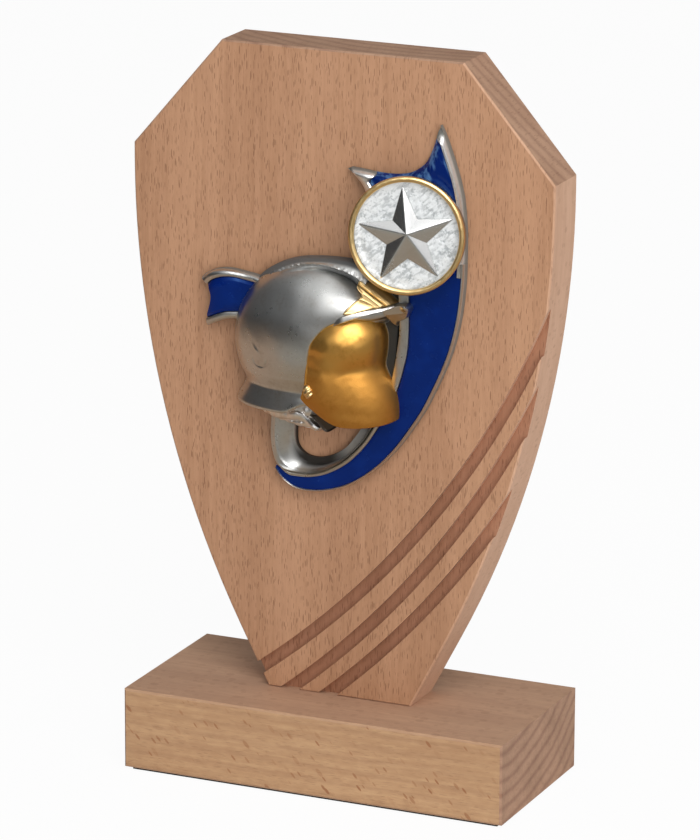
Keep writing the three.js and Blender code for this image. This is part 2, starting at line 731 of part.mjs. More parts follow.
// Five points and five waists around one peak, over a flat back sunk in the disc.
function raisedStar(level) {
  const points = [];
  const corners = 10;
  for (let i = 0; i < corners; i += 1) {
    const angle = Math.PI / 2 + starTurn + (i * 2 * Math.PI) / corners;
    const radius = i % 2 === 0 ? starRadius : starRadius * starWaistShare;
    points.push([radius * Math.cos(angle), radius * Math.sin(angle)]);
  }
  const sunk = level - discThickness / 2;
  const back = 2 * corners;
  const peak = back + 1;
  const vertices = [
    ...points.map(([x, y]) => [x, y, sunk]),
    ...points.map(([x, y]) => [x, y, level + clearance / 2]),
    [0, 0, sunk],
    [0, 0, level + starRise],
  ];
  const faces = [];
  for (let i = 0; i < corners; i += 1) {
    const next = (i + 1) % corners;
    faces.push(i, next, next + corners, i, next + corners, i + corners);
    faces.push(next, i, back, i + corners, next + corners, peak);
  }
  const geometry = new THREE.BufferGeometry();
  geometry.setAttribute('position', new THREE.Float32BufferAttribute(vertices.flat(), 3));
  geometry.setIndex(faces);
  return toSolid(geometry);
}

// The ring rests on the cup's brim, with a rounded top.
function medallionRing() {
  const inner = ringRadius - ringWidth;
  const low = clearance;
  const profile = [[inner, low], [ringRadius, low]];
  const steps = 5;
  for (let i = 0; i <= steps; i += 1) {
    const angle = (i / steps) * Math.PI;
    profile.push([
      ringRadius - ringWidth / 2 + (ringWidth / 2) * Math.cos(angle),
      low + ringHeight / 2 + (ringHeight / 2) * Math.sin(angle),
    ]);
  }
  profile.push([inner, low]);
  return turned(profile, 48);
}

function reliefGroup() {
  const relief = new THREE.Group();
  relief.rotation.x = Math.PI / 2;
  relief.position.set(reliefShift, shieldFace, blockTop + reliefHeight);
  relief.add(
    named('ribbon_casting', ribbonCasting(), silver),
    named('enamel_swallowtail', enamel(swallowtailEnamelShares), blue),
    named('enamel_sweep', enamel(sweepEnamelShares), blue),
    named('enamel_tail', enamel(tailEnamelShares), blue),
    named('helmet_shell', helmetShell(), silver),
    named('helmet_crest', helmetCrest(), silver),
    named('brow_badge', browBadge(), gold),
    named('brow_peak', browPeak(), silver),
    named('helmet_visor', helmetVisor(), gold),
    named('visor_pivot', visorPivot(), gold),
    named('neck_curtain', neckCurtain(), silver),
    named('chin_strap', chinStrap(), silver),
    named('medallion_cup', medallionCup(), darkSilver),
  );
  Object.entries(padPlaceShares).forEach(([name, place]) => {
    relief.add(named(name, adhesivePad(place), foam));
  });
  const medallion = medallionFrame();
  medallion.add(
    named('medallion_ring', medallionRing(), gold),
    named('star_disc', starDisc(), silver),
    named('disc_adhesive', glueDisc(), foam),
  );
  relief.add(medallion);
  return relief;
}

function trophy() {
  const group = new THREE.Group();
  group.add(
    named('base_felt', baseFelt(), felt),
    named('base_block', baseBlock(), beech),
    named('shield_panel', shieldPanel(), beech),
  );
  ['base_screw_left', 'base_screw_right'].forEach((name, i) => {
    const screw = named(name, woodScrew(), zinc);
    screw.position.x = screwPlaces()[i];
    group.add(screw);
  });
  group.add(reliefGroup());
  return group;
}

export default trophy();
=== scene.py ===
"""A wooden trophy: a beech shield on a beech block, with a cast relief of a visored helmet,
an enamelled ribbon and a star medallion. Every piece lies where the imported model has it."""

import logging
import math
from collections.abc import Callable
from dataclasses import dataclass
from enum import Enum
from typing import Any

import bmesh
import bpy
import numpy as np
from mathutils import Euler, Matrix, Vector


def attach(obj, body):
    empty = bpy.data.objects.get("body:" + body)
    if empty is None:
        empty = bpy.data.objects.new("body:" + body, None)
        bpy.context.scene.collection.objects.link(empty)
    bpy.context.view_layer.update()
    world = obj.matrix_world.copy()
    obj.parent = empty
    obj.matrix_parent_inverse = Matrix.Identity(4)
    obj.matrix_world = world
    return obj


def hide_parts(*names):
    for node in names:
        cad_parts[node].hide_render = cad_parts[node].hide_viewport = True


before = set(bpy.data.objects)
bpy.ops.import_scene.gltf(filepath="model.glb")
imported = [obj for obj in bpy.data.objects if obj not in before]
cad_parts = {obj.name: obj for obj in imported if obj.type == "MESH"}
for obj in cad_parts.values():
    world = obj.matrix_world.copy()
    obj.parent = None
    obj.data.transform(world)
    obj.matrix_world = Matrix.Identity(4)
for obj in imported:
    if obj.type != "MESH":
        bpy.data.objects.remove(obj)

log = logging.getLogger("trophy")
Array = np.ndarray
Columns = list[tuple[Any, float]]

MM = 0.001
WELD = 2e-6
TINY = 1e-12
PHOTO_HEIGHT = 840
SPAN_STEPS = 24

# The relief's own frame: u to the right, v up, h out of the wood, all in millimetres.
RELIEF_SHIFT = -1.1
RELIEF_FACE = 6.85
RELIEF_HEIGHT = 100.55
WEB_TOP = 1.8
WEB_BOTTOM = 0.3
RIM_TOP = 3.1
ENAMEL_TOP = 2.7
RECESS_FLOOR = 2.2


class Grain(Enum):
    """The turn in degrees that sets the fibres of a piece of wood upright."""

    UPRIGHT = (0, 0, 0)
    LEVEL = (0, 90, 0)


# Curves and grids, all as whole arrays.


def smooth_path(points: Any, count: int) -> Array:
    """Runs a Catmull-Rom curve through points, in equal steps along its length.

    Each span is half of (2b + (c - a)t + (2a - 5b + 4c - d)t^2 + (3b - a - 3c + d)t^3).

    Args:
        points: The places that the curve passes, one row each, of any number of columns.
        count: How many places to return.

    Returns:
        The places along the curve, count rows.
    """
    knots = np.asarray(points, float)
    before = 2 * knots[:1] - knots[1:2]
    after = 2 * knots[-1:] - knots[-2:-1]
    full = np.vstack([before, knots, after])
    t = np.linspace(0, 1, SPAN_STEPS + 1)[:-1, None, None]
    a, b, c, d = (full[i:len(full) - 3 + i][None] for i in range(4))
    spans = 0.5 * (2 * b + (c - a) * t + (2 * a - 5 * b + 4 * c - d) * t**2
                   + (3 * b - a - 3 * c + d) * t**3)
    dense = np.vstack([spans.transpose(1, 0, 2).reshape(-1, knots.shape[1]), knots[-1:]])
    return sample(dense, np.linspace(0, 1, count))


def closed_path(points: tuple, count: int) -> Array:
    """Runs the same curve once round a closed outline, as count places."""
    return smooth_path(points + points[:1], count + 1)[:-1]


def sample(path: Array, share: Array) -> Array:
    """Places at given shares of a path's length.

    Args:
        path: Rows of places.
        share: Shares from 0 to 1, in any shape.

    Returns:
        The places, in share's shape with one more axis.
    """
    steps = np.linalg.norm(np.diff(path, axis=0), axis=1)
    reach = np.concatenate([[0], np.cumsum(steps)])
    return np.stack([np.interp(share * reach[-1], reach, column) for column in path.T], axis=-1)


def smoothstep(value: Array, low: float, high: float) -> Array:
    """Rises from 0 to 1 between low and high as 3t^2 - 2t^3, and falls where high is lower."""
    t = np.clip((value - low) / (high - low), 0, 1)
    return t * t * (3 - 2 * t)


def bell(value: Array, middle: Any, width: Any) -> Array:
    """A hump of height 1: e to the power of minus the square of the distance over the width."""
    return np.exp(-((value - middle) / width) ** 2)


def ripple(u: Array, v: Array, size: float, seed: float) -> Array:
    """Uneven waves from -1 to 1: the mean of five sines that cross at odd angles.

    Args:
        u: Places across.
        v: Places up.
        size: About how far apart the waves are.
        seed: Turns the waves.

    Returns:
        The waves' height at each place.
    """
    turns = seed + np.arange(5) * 2.399
    lengths = size * np.array([1, 0.77, 1.31, 0.59, 0.9])
    waves = [np.sin((u * math.cos(a) + v * math.sin(a)) * math.tau / s + 5 * a)
             for a, s in zip(turns, lengths)]
    return np.mean(waves, axis=0)


def edge_distance(u: Array, v: Array, outline: Array) -> Array:
    """How far each place lies outside a closed outline, and less than zero inside it.

    The distance is to the nearest point of any side, and the sign comes from counting the sides
    that a ray to the right crosses.

    Args:
        u: Places across.
        v: Places up.
        outline: The outline's corners, one row each.

    Returns:
        The signed distances, in u's shape.
    """
    place = np.stack([np.ravel(u), np.ravel(v)], axis=-1)
    nearest = np.full(len(place), np.inf)
    inside = np.zeros(len(place), bool)
    for start, end in zip(outline, np.roll(outline, -1, axis=0)):
        side = end - start
        along = np.clip((place - start) @ side / max(side @ side, TINY), 0, 1)
        gap = place - start - along[:, None] * side
        nearest = np.minimum(nearest, np.einsum("ij,ij->i", gap, gap))
        crosses = (start[1] > place[:, 1]) != (end[1] > place[:, 1])
        rise = side[1] or TINY
        inside ^= crosses & (place[:, 0] < start[0] + side[0] * (place[:, 1] - start[1]) / rise)
    return (np.sqrt(nearest) * np.where(inside, -1, 1)).reshape(np.shape(u))


def half_ellipses(path: Array, count: int) -> tuple[Array, Array, Array]:
    """Arches up a path: u runs from left to right by the cosine, and h is the rise by the sine.

    Args:
        path: Rows of up, left, right and rise.
        count: Places in each arch.

    Returns:
        u, v and h, one row for each arch.
    """
    turn = np.linspace(0, math.pi, count)[None]
    up, left, right, rise = (column[:, None] for column in path.T)
    u = (left + right) / 2 - (right - left) / 2 * np.cos(turn)
    return u, np.broadcast_to(up, u.shape), rise * np.sin(turn)


def fan(outline: Array, centre: tuple[float, float], shares: Array) -> Array:
    """Rows round an outline, each from the centre out: centre + share times the way to the edge."""
    middle = np.asarray(centre, float)
    return middle + shares[None, :, None] * (outline[:, None] - middle)


def deep_fan(edge: tuple, count: int, centre: tuple,
             shares: Array) -> tuple[Array, Array, Array, Array]:
    """Runs a smooth outline round a fan, and measures how deep each place lies in it.

    Args:
        edge: The places that the outline passes.
        count: How many places it has.
        centre: Where the fan begins.
        shares: Shares of the way to the outline.

    Returns:
        The flat grid, its places across, its places up, and their depths.
    """
    outline = closed_path(edge, count)
    flat = fan(outline, centre, shares)
    u, v = flat[..., 0], flat[..., 1]
    return flat, u, v, -edge_distance(u, v, outline)


def lifted(flat: Array, height: Any) -> Array:
    """Puts a height on each place of a flat grid, as its third column."""
    return np.concatenate([flat, np.broadcast_to(height, flat.shape[:-1])[..., None]], axis=-1)


def grid_faces(rows: int, columns: int, wrap_rows: bool, wrap_columns: bool) -> Array:
    """The four corners of each face of a grid, counted row by row.

    Args:
        rows: Rows of places.
        columns: Places in each row.
        wrap_rows: Whether the last row joins the first.
        wrap_columns: Whether each row closes on itself.

    Returns:
        One row of four numbers for each face.
    """
    i = np.arange(rows if wrap_rows else rows - 1)[:, None]
    j = np.arange(columns if wrap_columns else columns - 1)[None]
    below, beside = (i + 1) % rows, (j + 1) % columns
    corners = [i * columns + j, i * columns + beside, below * columns + beside, below * columns + j]
    return np.stack(corners, axis=-1).reshape(-1, 4)


def to_world(points: Array) -> Array:
    """Takes places from the relief's frame to the model's frame, in metres."""
    u, v, h = points.reshape(-1, 3).T
    return np.stack([u + RELIEF_SHIFT, -RELIEF_FACE - h, RELIEF_HEIGHT + v], axis=-1) * MM


def linked(name: str, data: Any) -> bpy.types.Object:
    """Makes an object and puts it in the scene.

    Args:
        name: Its name.
        data: The mesh, lamp or lens that it holds.

    Returns:
        The object.
    """
    body = bpy.data.objects.new(name, data)
    bpy.context.scene.collection.objects.link(body)
    return body


@dataclass(frozen=True)
class Piece:
    """One finished piece: its name, the nodes that it stands for, and its finish."""

    name: str
    stands_for: tuple[str, ...]
    finish: "Finish"
    crease: float = 38.0

    def build(self, vertices: Array, faces: Array) -> None:
        """Makes the mesh object, merges its poles and seams, and dresses it.

        Args:
            vertices: Places in the relief's frame.
            faces: Rows of four numbers.
        """
        mesh = bpy.data.meshes.new(self.name)
        mesh.from_pydata(to_world(vertices).tolist(), [], faces.tolist())
        work = bmesh.new()
        work.from_mesh(mesh)
        bmesh.ops.remove_doubles(work, verts=work.verts, dist=WELD)
        bmesh.ops.recalc_face_normals(work, faces=work.faces)
        work.to_mesh(mesh)
        work.free()
        mesh.polygons.foreach_set("use_smooth", np.ones(len(mesh.polygons), bool))
        mesh.set_sharp_from_angle(angle=math.radians(self.crease))
        mesh.materials.append(self.finish.material())
        body = linked(self.name, mesh)
        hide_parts(*self.stands_for)
        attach(body, "root")
        log.info("%s: %d faces, %s", self.name, len(mesh.polygons), self.finish.name)

    def between(self, top: Array, bottom: Array, ring: bool = False) -> None:
        """Closes the room between two grids of the same shape.

        Args:
            top: The upper grid, rows by columns by three.
            bottom: The lower grid.
            ring: Whether the last row joins the first and the first column is a pole.
        """
        rows, columns = top.shape[:2]
        loop = np.concatenate([top, bottom[:, ::-1]], axis=1)
        faces = grid_faces(rows, 2 * columns, ring, not ring)
        if not ring:
            j = np.arange(columns - 1)
            cap = np.stack([j, j + 1, 2 * columns - 2 - j, 2 * columns - 1 - j], axis=-1)
            faces = np.concatenate([faces, cap, cap + (rows - 1) * 2 * columns])
        self.build(loop, faces)

    def down_to(self, top: Array, floor: Any) -> None:
        """Closes the room from a grid down to a height under it."""
        self.between(top, lifted(top[..., :2], floor))

    def fanned(self, flat: Array, high: Any, low: Any) -> None:
        """Closes the room between two heights over a flat fan."""
        self.between(lifted(flat, high), lifted(flat, low), ring=True)

    def rings(self, loops: Array) -> None:
        """Joins closed rings of places, and ends them in poles.

        Args:
            loops: Rings by places by three, in the relief's frame.
        """
        poles = [np.broadcast_to(loops[end].mean(axis=0), loops[:1].shape[1:])[None]
                 for end in (0, -1)]
        full = np.concatenate([poles[0], loops, poles[1]])
        self.build(full, grid_faces(full.shape[0], full.shape[1], False, True))


# Shader maths.


def operator(kind: str, swapped: bool = False) -> Callable[..., "Signal"]:
    """A method that puts a Math node between two numbers, in their order or swapped.

    Args:
        kind: What the node does.
        swapped: Whether the other number comes first.

    Returns:
        The method.
    """
    def combine(self: "Signal", other: Any) -> "Signal":
        """Adds the node."""
        return self.bench.maths(kind, *((other, self) if swapped else (self, other)))
    return combine


@dataclass(frozen=True)
class Signal:
    """A number that varies over a surface: one output socket, and the bench that holds it."""

    bench: "Bench"
    socket: bpy.types.NodeSocket

    __add__ = __radd__ = operator("ADD")
    __mul__ = __rmul__ = operator("MULTIPLY")
    __sub__ = operator("SUBTRACT")
    __rsub__ = operator("SUBTRACT", swapped=True)
    __pow__ = operator("POWER")
    at_least = operator("MAXIMUM")

    def step(self, low: float, high: float) -> "Signal":
        """Rises smoothly from 0 at low to 1 at high, and falls where high is the lower one."""
        return self.bench.node("ShaderNodeMapRange", {"interpolation_type": "SMOOTHSTEP"}, {
            "Value": self, "From Min": low, "From Max": high, "To Min": 0.0, "To Max": 1.0})


class Bench:
    """The node tree of one material, and the one method that adds a node to it."""

    def __init__(self, tree: bpy.types.NodeTree) -> None:
        """Starts with the tree as it is."""
        self.tree = tree

    def node(self, kind: str, settings: dict[str, Any] | None = None,
             sockets: dict[Any, Any] | None = None, output: Any = 0) -> Signal:
        """Adds a node, sets what it is, and then fills its sockets.

        Args:
            kind: The node's type.
            settings: Its properties; "stops" are a colour ramp's places and colours.
            sockets: Values or links by socket name or number.
            output: The name or number of the output to hand back.

        Returns:
            The node's output.
        """
        made = self.tree.nodes.new(kind)
        for name, value in (settings or {}).items():
            if name == "stops":
                self._set_stops(made.color_ramp, value)
            else:
                setattr(made, name, value)
        for name, value in (sockets or {}).items():
            if isinstance(value, Signal):
                self.tree.links.new(value.socket, made.inputs[name])
            else:
                made.inputs[name].default_value = value
        return Signal(self, made.outputs[output])

    @staticmethod
    def _set_stops(ramp: bpy.types.ColorRamp, stops: tuple) -> None:
        """Gives a colour ramp its stops.

        Args:
            ramp: The ramp.
            stops: Places from 0 to 1, each with a linear colour.
        """
        while len(ramp.elements) < len(stops):
            ramp.elements.new(0.5)
        for element, (place, colour) in zip(ramp.elements, stops):
            element.position = place
            element.color = (*colour, 1)

    def maths(self, kind: str, *values: Any) -> Signal:
        """Adds a Math node."""
        return self.node("ShaderNodeMath", {"operation": kind}, dict(enumerate(values)))

    def vector(self, kind: str, *values: Any, output: Any = 0) -> Signal:
        """Adds a Vector Math node."""
        return self.node(
            "ShaderNodeVectorMath", {"operation": kind}, dict(enumerate(values)), output)

    def axis(self, place: Signal, name: str) -> Signal:
        """One part of a place or a direction."""
        return self.node("ShaderNodeSeparateXYZ", None, {0: place}, name)

    def millimetres(self) -> Signal:
        """The object's own coordinates, in millimetres.

        Returns:
            The coordinates.
        """
        place = self.node("ShaderNodeTexCoord", output="Object")
        return self.node("ShaderNodeVectorMath", {"operation": "SCALE"},
                         {0: place, "Scale": 1 / MM})

    def mapped(self, place: Signal, scale: tuple = (1, 1, 1), turn: tuple = (0, 0, 0),
               shift: tuple = (0, 0, 0)) -> Signal:
        """Stretches a pattern, then turns it, then shifts it.

        Args:
            place: Coordinates.
            scale: Factors along the three axes.
            turn: Degrees about the three axes.
            shift: What is added last.

        Returns:
            The new coordinates.
        """
        turned = Euler([math.radians(a) for a in turn])
        return self.node("ShaderNodeMapping", None, {
            "Vector": place, "Scale": scale, "Rotation": turned, "Location": shift})

    def noise(self, place: Signal, size: float, detail: float = 2.0, rough: float = 0.5) -> Signal:
        """Soft noise from 0 to 1, with patches of about a given size."""
        return self.node("ShaderNodeTexNoise", None, {
            "Vector": place, "Scale": 1 / size, "Detail": detail, "Roughness": rough})

    def stretched(self, place: Signal, sizes: tuple, detail: float = 2.0,
                  rough: float = 0.5) -> Signal:
        """Soft noise from 0 to 1, with patches of a size on each axis."""
        return self.noise(self.mapped(place, tuple(1 / size for size in sizes)), 1.0, detail, rough)

    def voronoi(self, place: Signal, scale: float, output: str) -> Signal:
        """The distance to the nearest cell's middle, or that cell's colour."""
        return self.node("ShaderNodeTexVoronoi", None, {"Vector": place, "Scale": scale}, output)

    def mix(self, factor: Any, low: Any, high: Any, blend: str = "MIX") -> Signal:
        """Blends two colours.

        Args:
            factor: From 0 to 1.
            low: The colour at 0.
            high: The colour at 1.
            blend: Blender's name for the way to blend.

        Returns:
            The colour.
        """
        low, high = (shade if isinstance(shade, Signal) else (*shade, 1) for shade in (low, high))
        settings = {"data_type": "RGBA", "blend_type": blend, "clamp_factor": True}
        return self.node("ShaderNodeMix", settings, {0: factor, 6: low, 7: high}, 2)

    def bump(self, height: Signal, distance: float, strength: float = 1.0,
             under: Signal | None = None) -> Signal:
        """Turns a height from 0 to 1 into a normal.

        Args:
            height: The height.
            distance: What 1 stands for, in millimetres.
            strength: How much of it shows.
            under: A normal to add it to.

        Returns:
            The normal.
        """
        sockets = {"Height": height, "Distance": distance * MM, "Strength": strength}
        if under is not None:
            sockets["Normal"] = under
        return self.node("ShaderNodeBump", None, sockets)

    def surface(self, sockets: dict[str, Any]) -> None:
        """Ends the tree in one Principled shader with these values and links."""
        self.end(self.node("ShaderNodeBsdfPrincipled", None, sockets))

    def end(self, shader: Signal, kind: str = "ShaderNodeOutputMaterial") -> None:
        """Links a shader to the tree's output."""
        out = self.tree.nodes.new(kind)
        self.tree.links.new(shader.socket, out.inputs["Surface"])


def cleared(owner: Any) -> Bench:
    """Empties the node tree of a material or a world, and hands it over as a bench.

    Args:
        owner: The material or the world.

    Returns:
        The bench.
    """
    owner.use_nodes = True
    owner.node_tree.nodes.clear()
    return Bench(owner.node_tree)


class Finish:
    """What every finish has: a name, a slot, and one material that its pieces share."""

    name: str
    slot: str

    def material(self) -> bpy.types.Material:
        """The finish's material, painted when it is first asked for.

        Returns:
            The material.
        """
        found = bpy.data.materials.get(self.name)
        if found is None:
            found = bpy.data.materials.new(self.name)
            self.paint(cleared(found))
        return found

    def paint(self, bench: Bench) -> None:
        """Builds the node tree."""
        raise NotImplementedError


@dataclass(frozen=True)
class Beech(Finish):
    """Sanded beech: rays that show as dashes on a flat face, flecks, soft bands and growth rings.

    Every pair of colours is a pale and a deep tone. Every three shares are for the broad faces,
    the other long faces and the end grain. Sizes are in millimetres, the third along the grain.
    Rays are a Voronoi cell's size and how far a ray reaches in it.
    """

    name: str = "beech_upright"
    slot: str = "beech"
    grain: Grain = Grain.UPRIGHT
    face: tuple = ((0.515, 0.284, 0.165), (0.405, 0.212, 0.117))
    # The side tones are paler and greyer than the face: partly the edge grain's own tone, partly
    # painted light and sheen on those faces.
    side: tuple = ((0.635, 0.40, 0.275), (0.54, 0.325, 0.215))
    end: tuple = ((0.485, 0.30, 0.20), (0.40, 0.235, 0.152))
    dark: tuple = (0.14, 0.056, 0.026)
    fleck: tuple = (0.31, 0.125, 0.055)
    ring: tuple = (0.60, 0.53, 0.55)
    dash_shares: tuple = (0.62, 0.2, 0.3)
    fleck_shares: tuple = (0.0, 0.0, 0.0)
    ring_shares: tuple = (0.07, 0.05, 0.5)
    heart: tuple = (14.0, 62.0)
    # floor is multiplied into the groove floors: painted shade for their depth, partly also the
    # darker cut wood.
    floor: tuple = (0.80, 0.70, 0.71)
    groove_shade_share: float = 1.0
    mottling: float = 0.6
    banding: float = 1.3
    streaking: float = 0.9
    sway: tuple = (7, 5)
    sway_sizes: tuple = (30, 30, 90)
    band_sizes: tuple = (9, 9, 160)
    streak_sizes: tuple = (0.8, 0.8, 24)
    mottle_sizes: tuple = (1.6, 1.6, 4)
    fibre_sizes: tuple = (0.16, 0.16, 4.5)
    warp_sizes: tuple = (22, 22, 176)
    warp: float = 7.0
    ring_pace: float = 1.75
    ring_sharpness: float = 2.5
    short_dashes: tuple = ((0.33, 2.6, 2.6), 0.33)
    long_dashes: tuple = ((0.50, 4.0, 4.8), 0.27)
    dash_shift: tuple = (7, 3, 5)
    short_flecks: tuple = ((1.5, 4.0, 5.0), 0.22)
    long_flecks: tuple = ((3.0, 5.0, 8.0), 0.19)
    fleck_turn: tuple = (0, -48, 9)
    groove_fronts: tuple = (-6.5, -5.6)
    groove_backs: tuple = (0.0, -2.0)
    roughness: float = 0.64

    def masks(self, bench: Bench) -> tuple[Signal, Signal]:
        """Finds the broad faces and the end grain by the way that they face.

        Args:
            bench: The tree.

        Returns:
            Two numbers from 0 to 1, for a broad face and for end grain.
        """
        normal = bench.node("ShaderNodeTexCoord", output="Normal")
        turned = bench.mapped(normal, turn=self.grain.value)
        across, along = (bench.maths("ABSOLUTE", bench.axis(turned, name)) for name in "YZ")
        return across.step(0.6, 0.85), along.step(0.53, 0.62)

    @staticmethod
    def rays(bench: Bench, along: Signal, sizes: tuple, reach: float) -> Signal:
        """Thin plates that run with the grain: a stretched Voronoi cell is dark in its middle.

        Args:
            bench: The tree.
            along: Coordinates whose third axis runs with the grain.
            sizes: A cell's size along the three axes.
            reach: How far a plate reaches, as a share of its cell.

        Returns:
            From 0 on clear wood to 1 in a ray.
        """
        place = bench.mapped(along, tuple(1 / size for size in sizes))
        near, kind = (bench.voronoi(place, 1.0, output) for output in ("Distance", "Color"))
        chance = bench.node("ShaderNodeSeparateColor", None, {0: kind}, 0)
        return near.step(reach, reach * 0.7) * (0.1 + chance ** 1.5 * 0.9)

    def rings(self, bench: Bench, along: Signal) -> Signal:
        """Growth rings: a sharpened sine of the distance from the tree's heart.

        Args:
            bench: The tree.
            along: Coordinates whose third axis runs with the grain.

        Returns:
            From 0 between two rings to 1 in one.
        """
        warped = bench.stretched(along, self.warp_sizes)
        split = bench.mapped(along, (1, 1, 0), shift=(-self.heart[0], -self.heart[1], 0))
        away = bench.vector("LENGTH", split, output="Value")
        wave = bench.maths("SINE", away * self.ring_pace + warped * self.warp)
        return (wave * 0.5 + 0.5) ** self.ring_sharpness

    def tone(self, bench: Bench, along: Signal) -> tuple[Signal, Signal]:
        """Works out how deep the wood's tone is.

        Args:
            bench: The tree.
            along: Coordinates whose third axis runs with the grain.

        Returns:
            The depth from 0 to 1, and the mottle that is part of it.
        """
        sway = bench.stretched(along, self.sway_sizes, 1.0)
        shift = bench.node("ShaderNodeCombineXYZ", None, {
            axis: sway * reach for axis, reach in enumerate(self.sway)})
        bent = bench.vector("ADD", along, shift)
        bands = bench.stretched(bent, self.band_sizes, 2.0, 0.55)
        streaks = bench.stretched(bent, self.streak_sizes, 2.0, 0.6)
        mottle = bench.stretched(along, self.mottle_sizes, 3.0, 0.6)
        depth = ((bands - 0.5) * self.banding + (streaks - 0.5) * self.streaking
                 + (mottle - 0.5) * self.mottling + 0.5)
        return depth.step(0.0, 1.0), mottle

    def paint(self, bench: Bench) -> None:
        """Bands, streaks and mottle set the tone; rings, flecks and dashes darken it, and the groove
        floors are darkened with painted shade.

        Args:
            bench: The tree.
        """
        along = bench.mapped(bench.millimetres(), turn=self.grain.value)
        facing, ending = self.masks(bench)

        def by_face(shares: tuple) -> Signal:
            """Picks one of three shares by the way that the surface faces."""
            return shares[1] + facing * (shares[0] - shares[1]) + ending * (shares[2] - shares[1])

        tone, mottle = self.tone(bench, along)
        face, side, end = (bench.mix(tone, *pair) for pair in (self.face, self.side, self.end))
        colour = bench.mix(ending, bench.mix(facing, side, face), end)
        rings = self.rings(bench, along) * by_face(self.ring_shares)
        colour = bench.mix(rings, colour, self.ring, "MULTIPLY")
        if self.fleck_shares[0]:
            slanted = bench.mapped(along, turn=self.fleck_turn)
            flecks = self.rays(bench, slanted, *self.short_flecks).at_least(
                self.rays(bench, slanted, *self.long_flecks))
            colour = bench.mix(flecks * by_face(self.fleck_shares), colour, self.fleck)
        shifted = bench.mapped(along, shift=self.dash_shift)
        dashes = self.rays(bench, along, *self.short_dashes).at_least(
            self.rays(bench, shifted, *self.long_dashes)) * by_face(self.dash_shares)
        colour = bench.mix(dashes, colour, self.dark)
        # Painted shade: the broad face's routed groove floors are darkened as if shaded in their
        # depth, partly also as darker cut wood.
        if self.groove_shade_share:
            depth = bench.axis(along, "Y")
            groove_shade = depth.step(*self.groove_fronts) * depth.step(*self.groove_backs) * facing
            colour = bench.mix(groove_shade * self.groove_shade_share, colour, self.floor, "MULTIPLY")
        fibres = bench.stretched(along, self.fibre_sizes)
        bench.surface({
            "Base Color": colour,
            "Roughness": self.roughness - (mottle - 0.5) * 0.16,
            "Specular IOR Level": 0.3,
            "Normal": bench.bump(fibres * 0.35 - dashes, 0.12, 0.7)})


@dataclass(frozen=True)
class Plated(Finish):
    """Satin plate over a casting: cloudy gloss, a fine grain, darker toning, and painted shade on
    the low parts next to the wood.

    Depths are along the model's y and heights along its z, in millimetres.
    """

    name: str = "silver_plate"
    slot: str = "silver"
    colour: tuple = (0.60, 0.60, 0.585)
    toned: tuple = (0.40, 0.37, 0.33)
    gloss: float = 0.30
    grain: float = 0.008
    # low is painted shade: the dark matt colour of the parts next to the wood, between the depths
    # given.
    low: tuple = (0.185, 0.185, 0.17)
    wood_shade_depths: tuple = (-9.5, -8.5)
    satin: float = 0.0
    satin_heights: tuple = (109.0, 104.5)
    cloud_size: float = 4.5
    spot_size: float = 0.9
    grain_size: float = 0.22
    toning: float = 0.55

    def paint(self, bench: Bench) -> None:
        """Noise sets gloss and toning; next to the wood the plate is painted dark and matt as shade,
        and it is satin lower down.

        Args:
            bench: The tree.
        """
        place = bench.millimetres()
        cloud = bench.noise(place, self.cloud_size, 3.0, 0.6)
        spots = bench.noise(place, self.spot_size, 3.0, 0.65)
        grain = bench.noise(place, self.grain_size, 2.0, 0.6)
        # Painted shade: next to the wood the plate turns dark and matt, as where the relief meets
        # the wood.
        wood_shade = bench.axis(place, "Y").step(*self.wood_shade_depths)
        patches = (cloud * 0.6 + spots * 0.4).step(0.48, 0.72) * self.toning
        colour, gloss = bench.mix(patches, self.colour, self.toned), self.gloss
        # Lower down the plate is rougher and mixed towards its toned colour; that deeper tone is
        # painted shade that dims the highlight there.
        if self.satin:
            lower = bench.axis(place, "Z").step(*self.satin_heights)
            gloss = lower * self.satin + gloss
            colour = bench.mix(lower * self.toning, colour, self.toned)
        uneven = gloss + (cloud - 0.5) * 0.16 + (spots - 0.5) * 0.1
        bench.surface({
            "Base Color": bench.mix(wood_shade, colour, self.low),
            "Metallic": 1 - wood_shade * 0.85,
            "Roughness": uneven.at_least(self.gloss - 0.03) + wood_shade * 0.2,
            "Normal": bench.bump(grain, self.grain, 0.8)})


@dataclass(frozen=True)
class Frost(Finish):
    """Crinkled silver foil, so matt that it scatters light almost as white paint does."""

    name: str = "frosted_foil"
    slot: str = "silver"
    colour: tuple = (0.76, 0.78, 0.785)
    # crease is painted shade, the colour in the crinkles' hollows.
    crease: tuple = (0.36, 0.385, 0.395)
    brushed: tuple = (0.47, 0.49, 0.495)
    fold_size: float = 1.9
    fine_size: float = 0.5
    stroke_sizes: tuple = (2.4, 1, 0.9)
    stroke_turn: tuple = (0, 38, 0)

    def paint(self, bench: Bench) -> None:
        """Two noises crinkle the foil, and their hollows get painted shade; slanted strokes dull it.

        Args:
            bench: The tree.
        """
        place = bench.millimetres()
        fold = bench.noise(bench.mapped(place, turn=(0, 30, 0)), self.fold_size, 3.0, 0.6)
        fine = bench.noise(place, self.fine_size, 3.0, 0.6)
        slanted = bench.mapped(place, turn=self.stroke_turn)
        stroke = bench.stretched(slanted, self.stroke_sizes, 3.0, 0.6)
        foil = bench.mix(stroke.step(0.46, 0.64) * 0.9, self.colour, self.brushed)
        # Painted shade: the foil is darker in the hollows of its crinkles.
        hollow = (fold * 0.6 + fine * 0.4).step(0.50, 0.34)
        bench.surface({
            "Base Color": bench.mix(hollow, foil, self.crease),
            "Metallic": 0.1,
            "Roughness": 0.34 + fine * 0.2,
            "Normal": bench.bump(fine, 0.05, 0.8, bench.bump(fold, 0.22))})


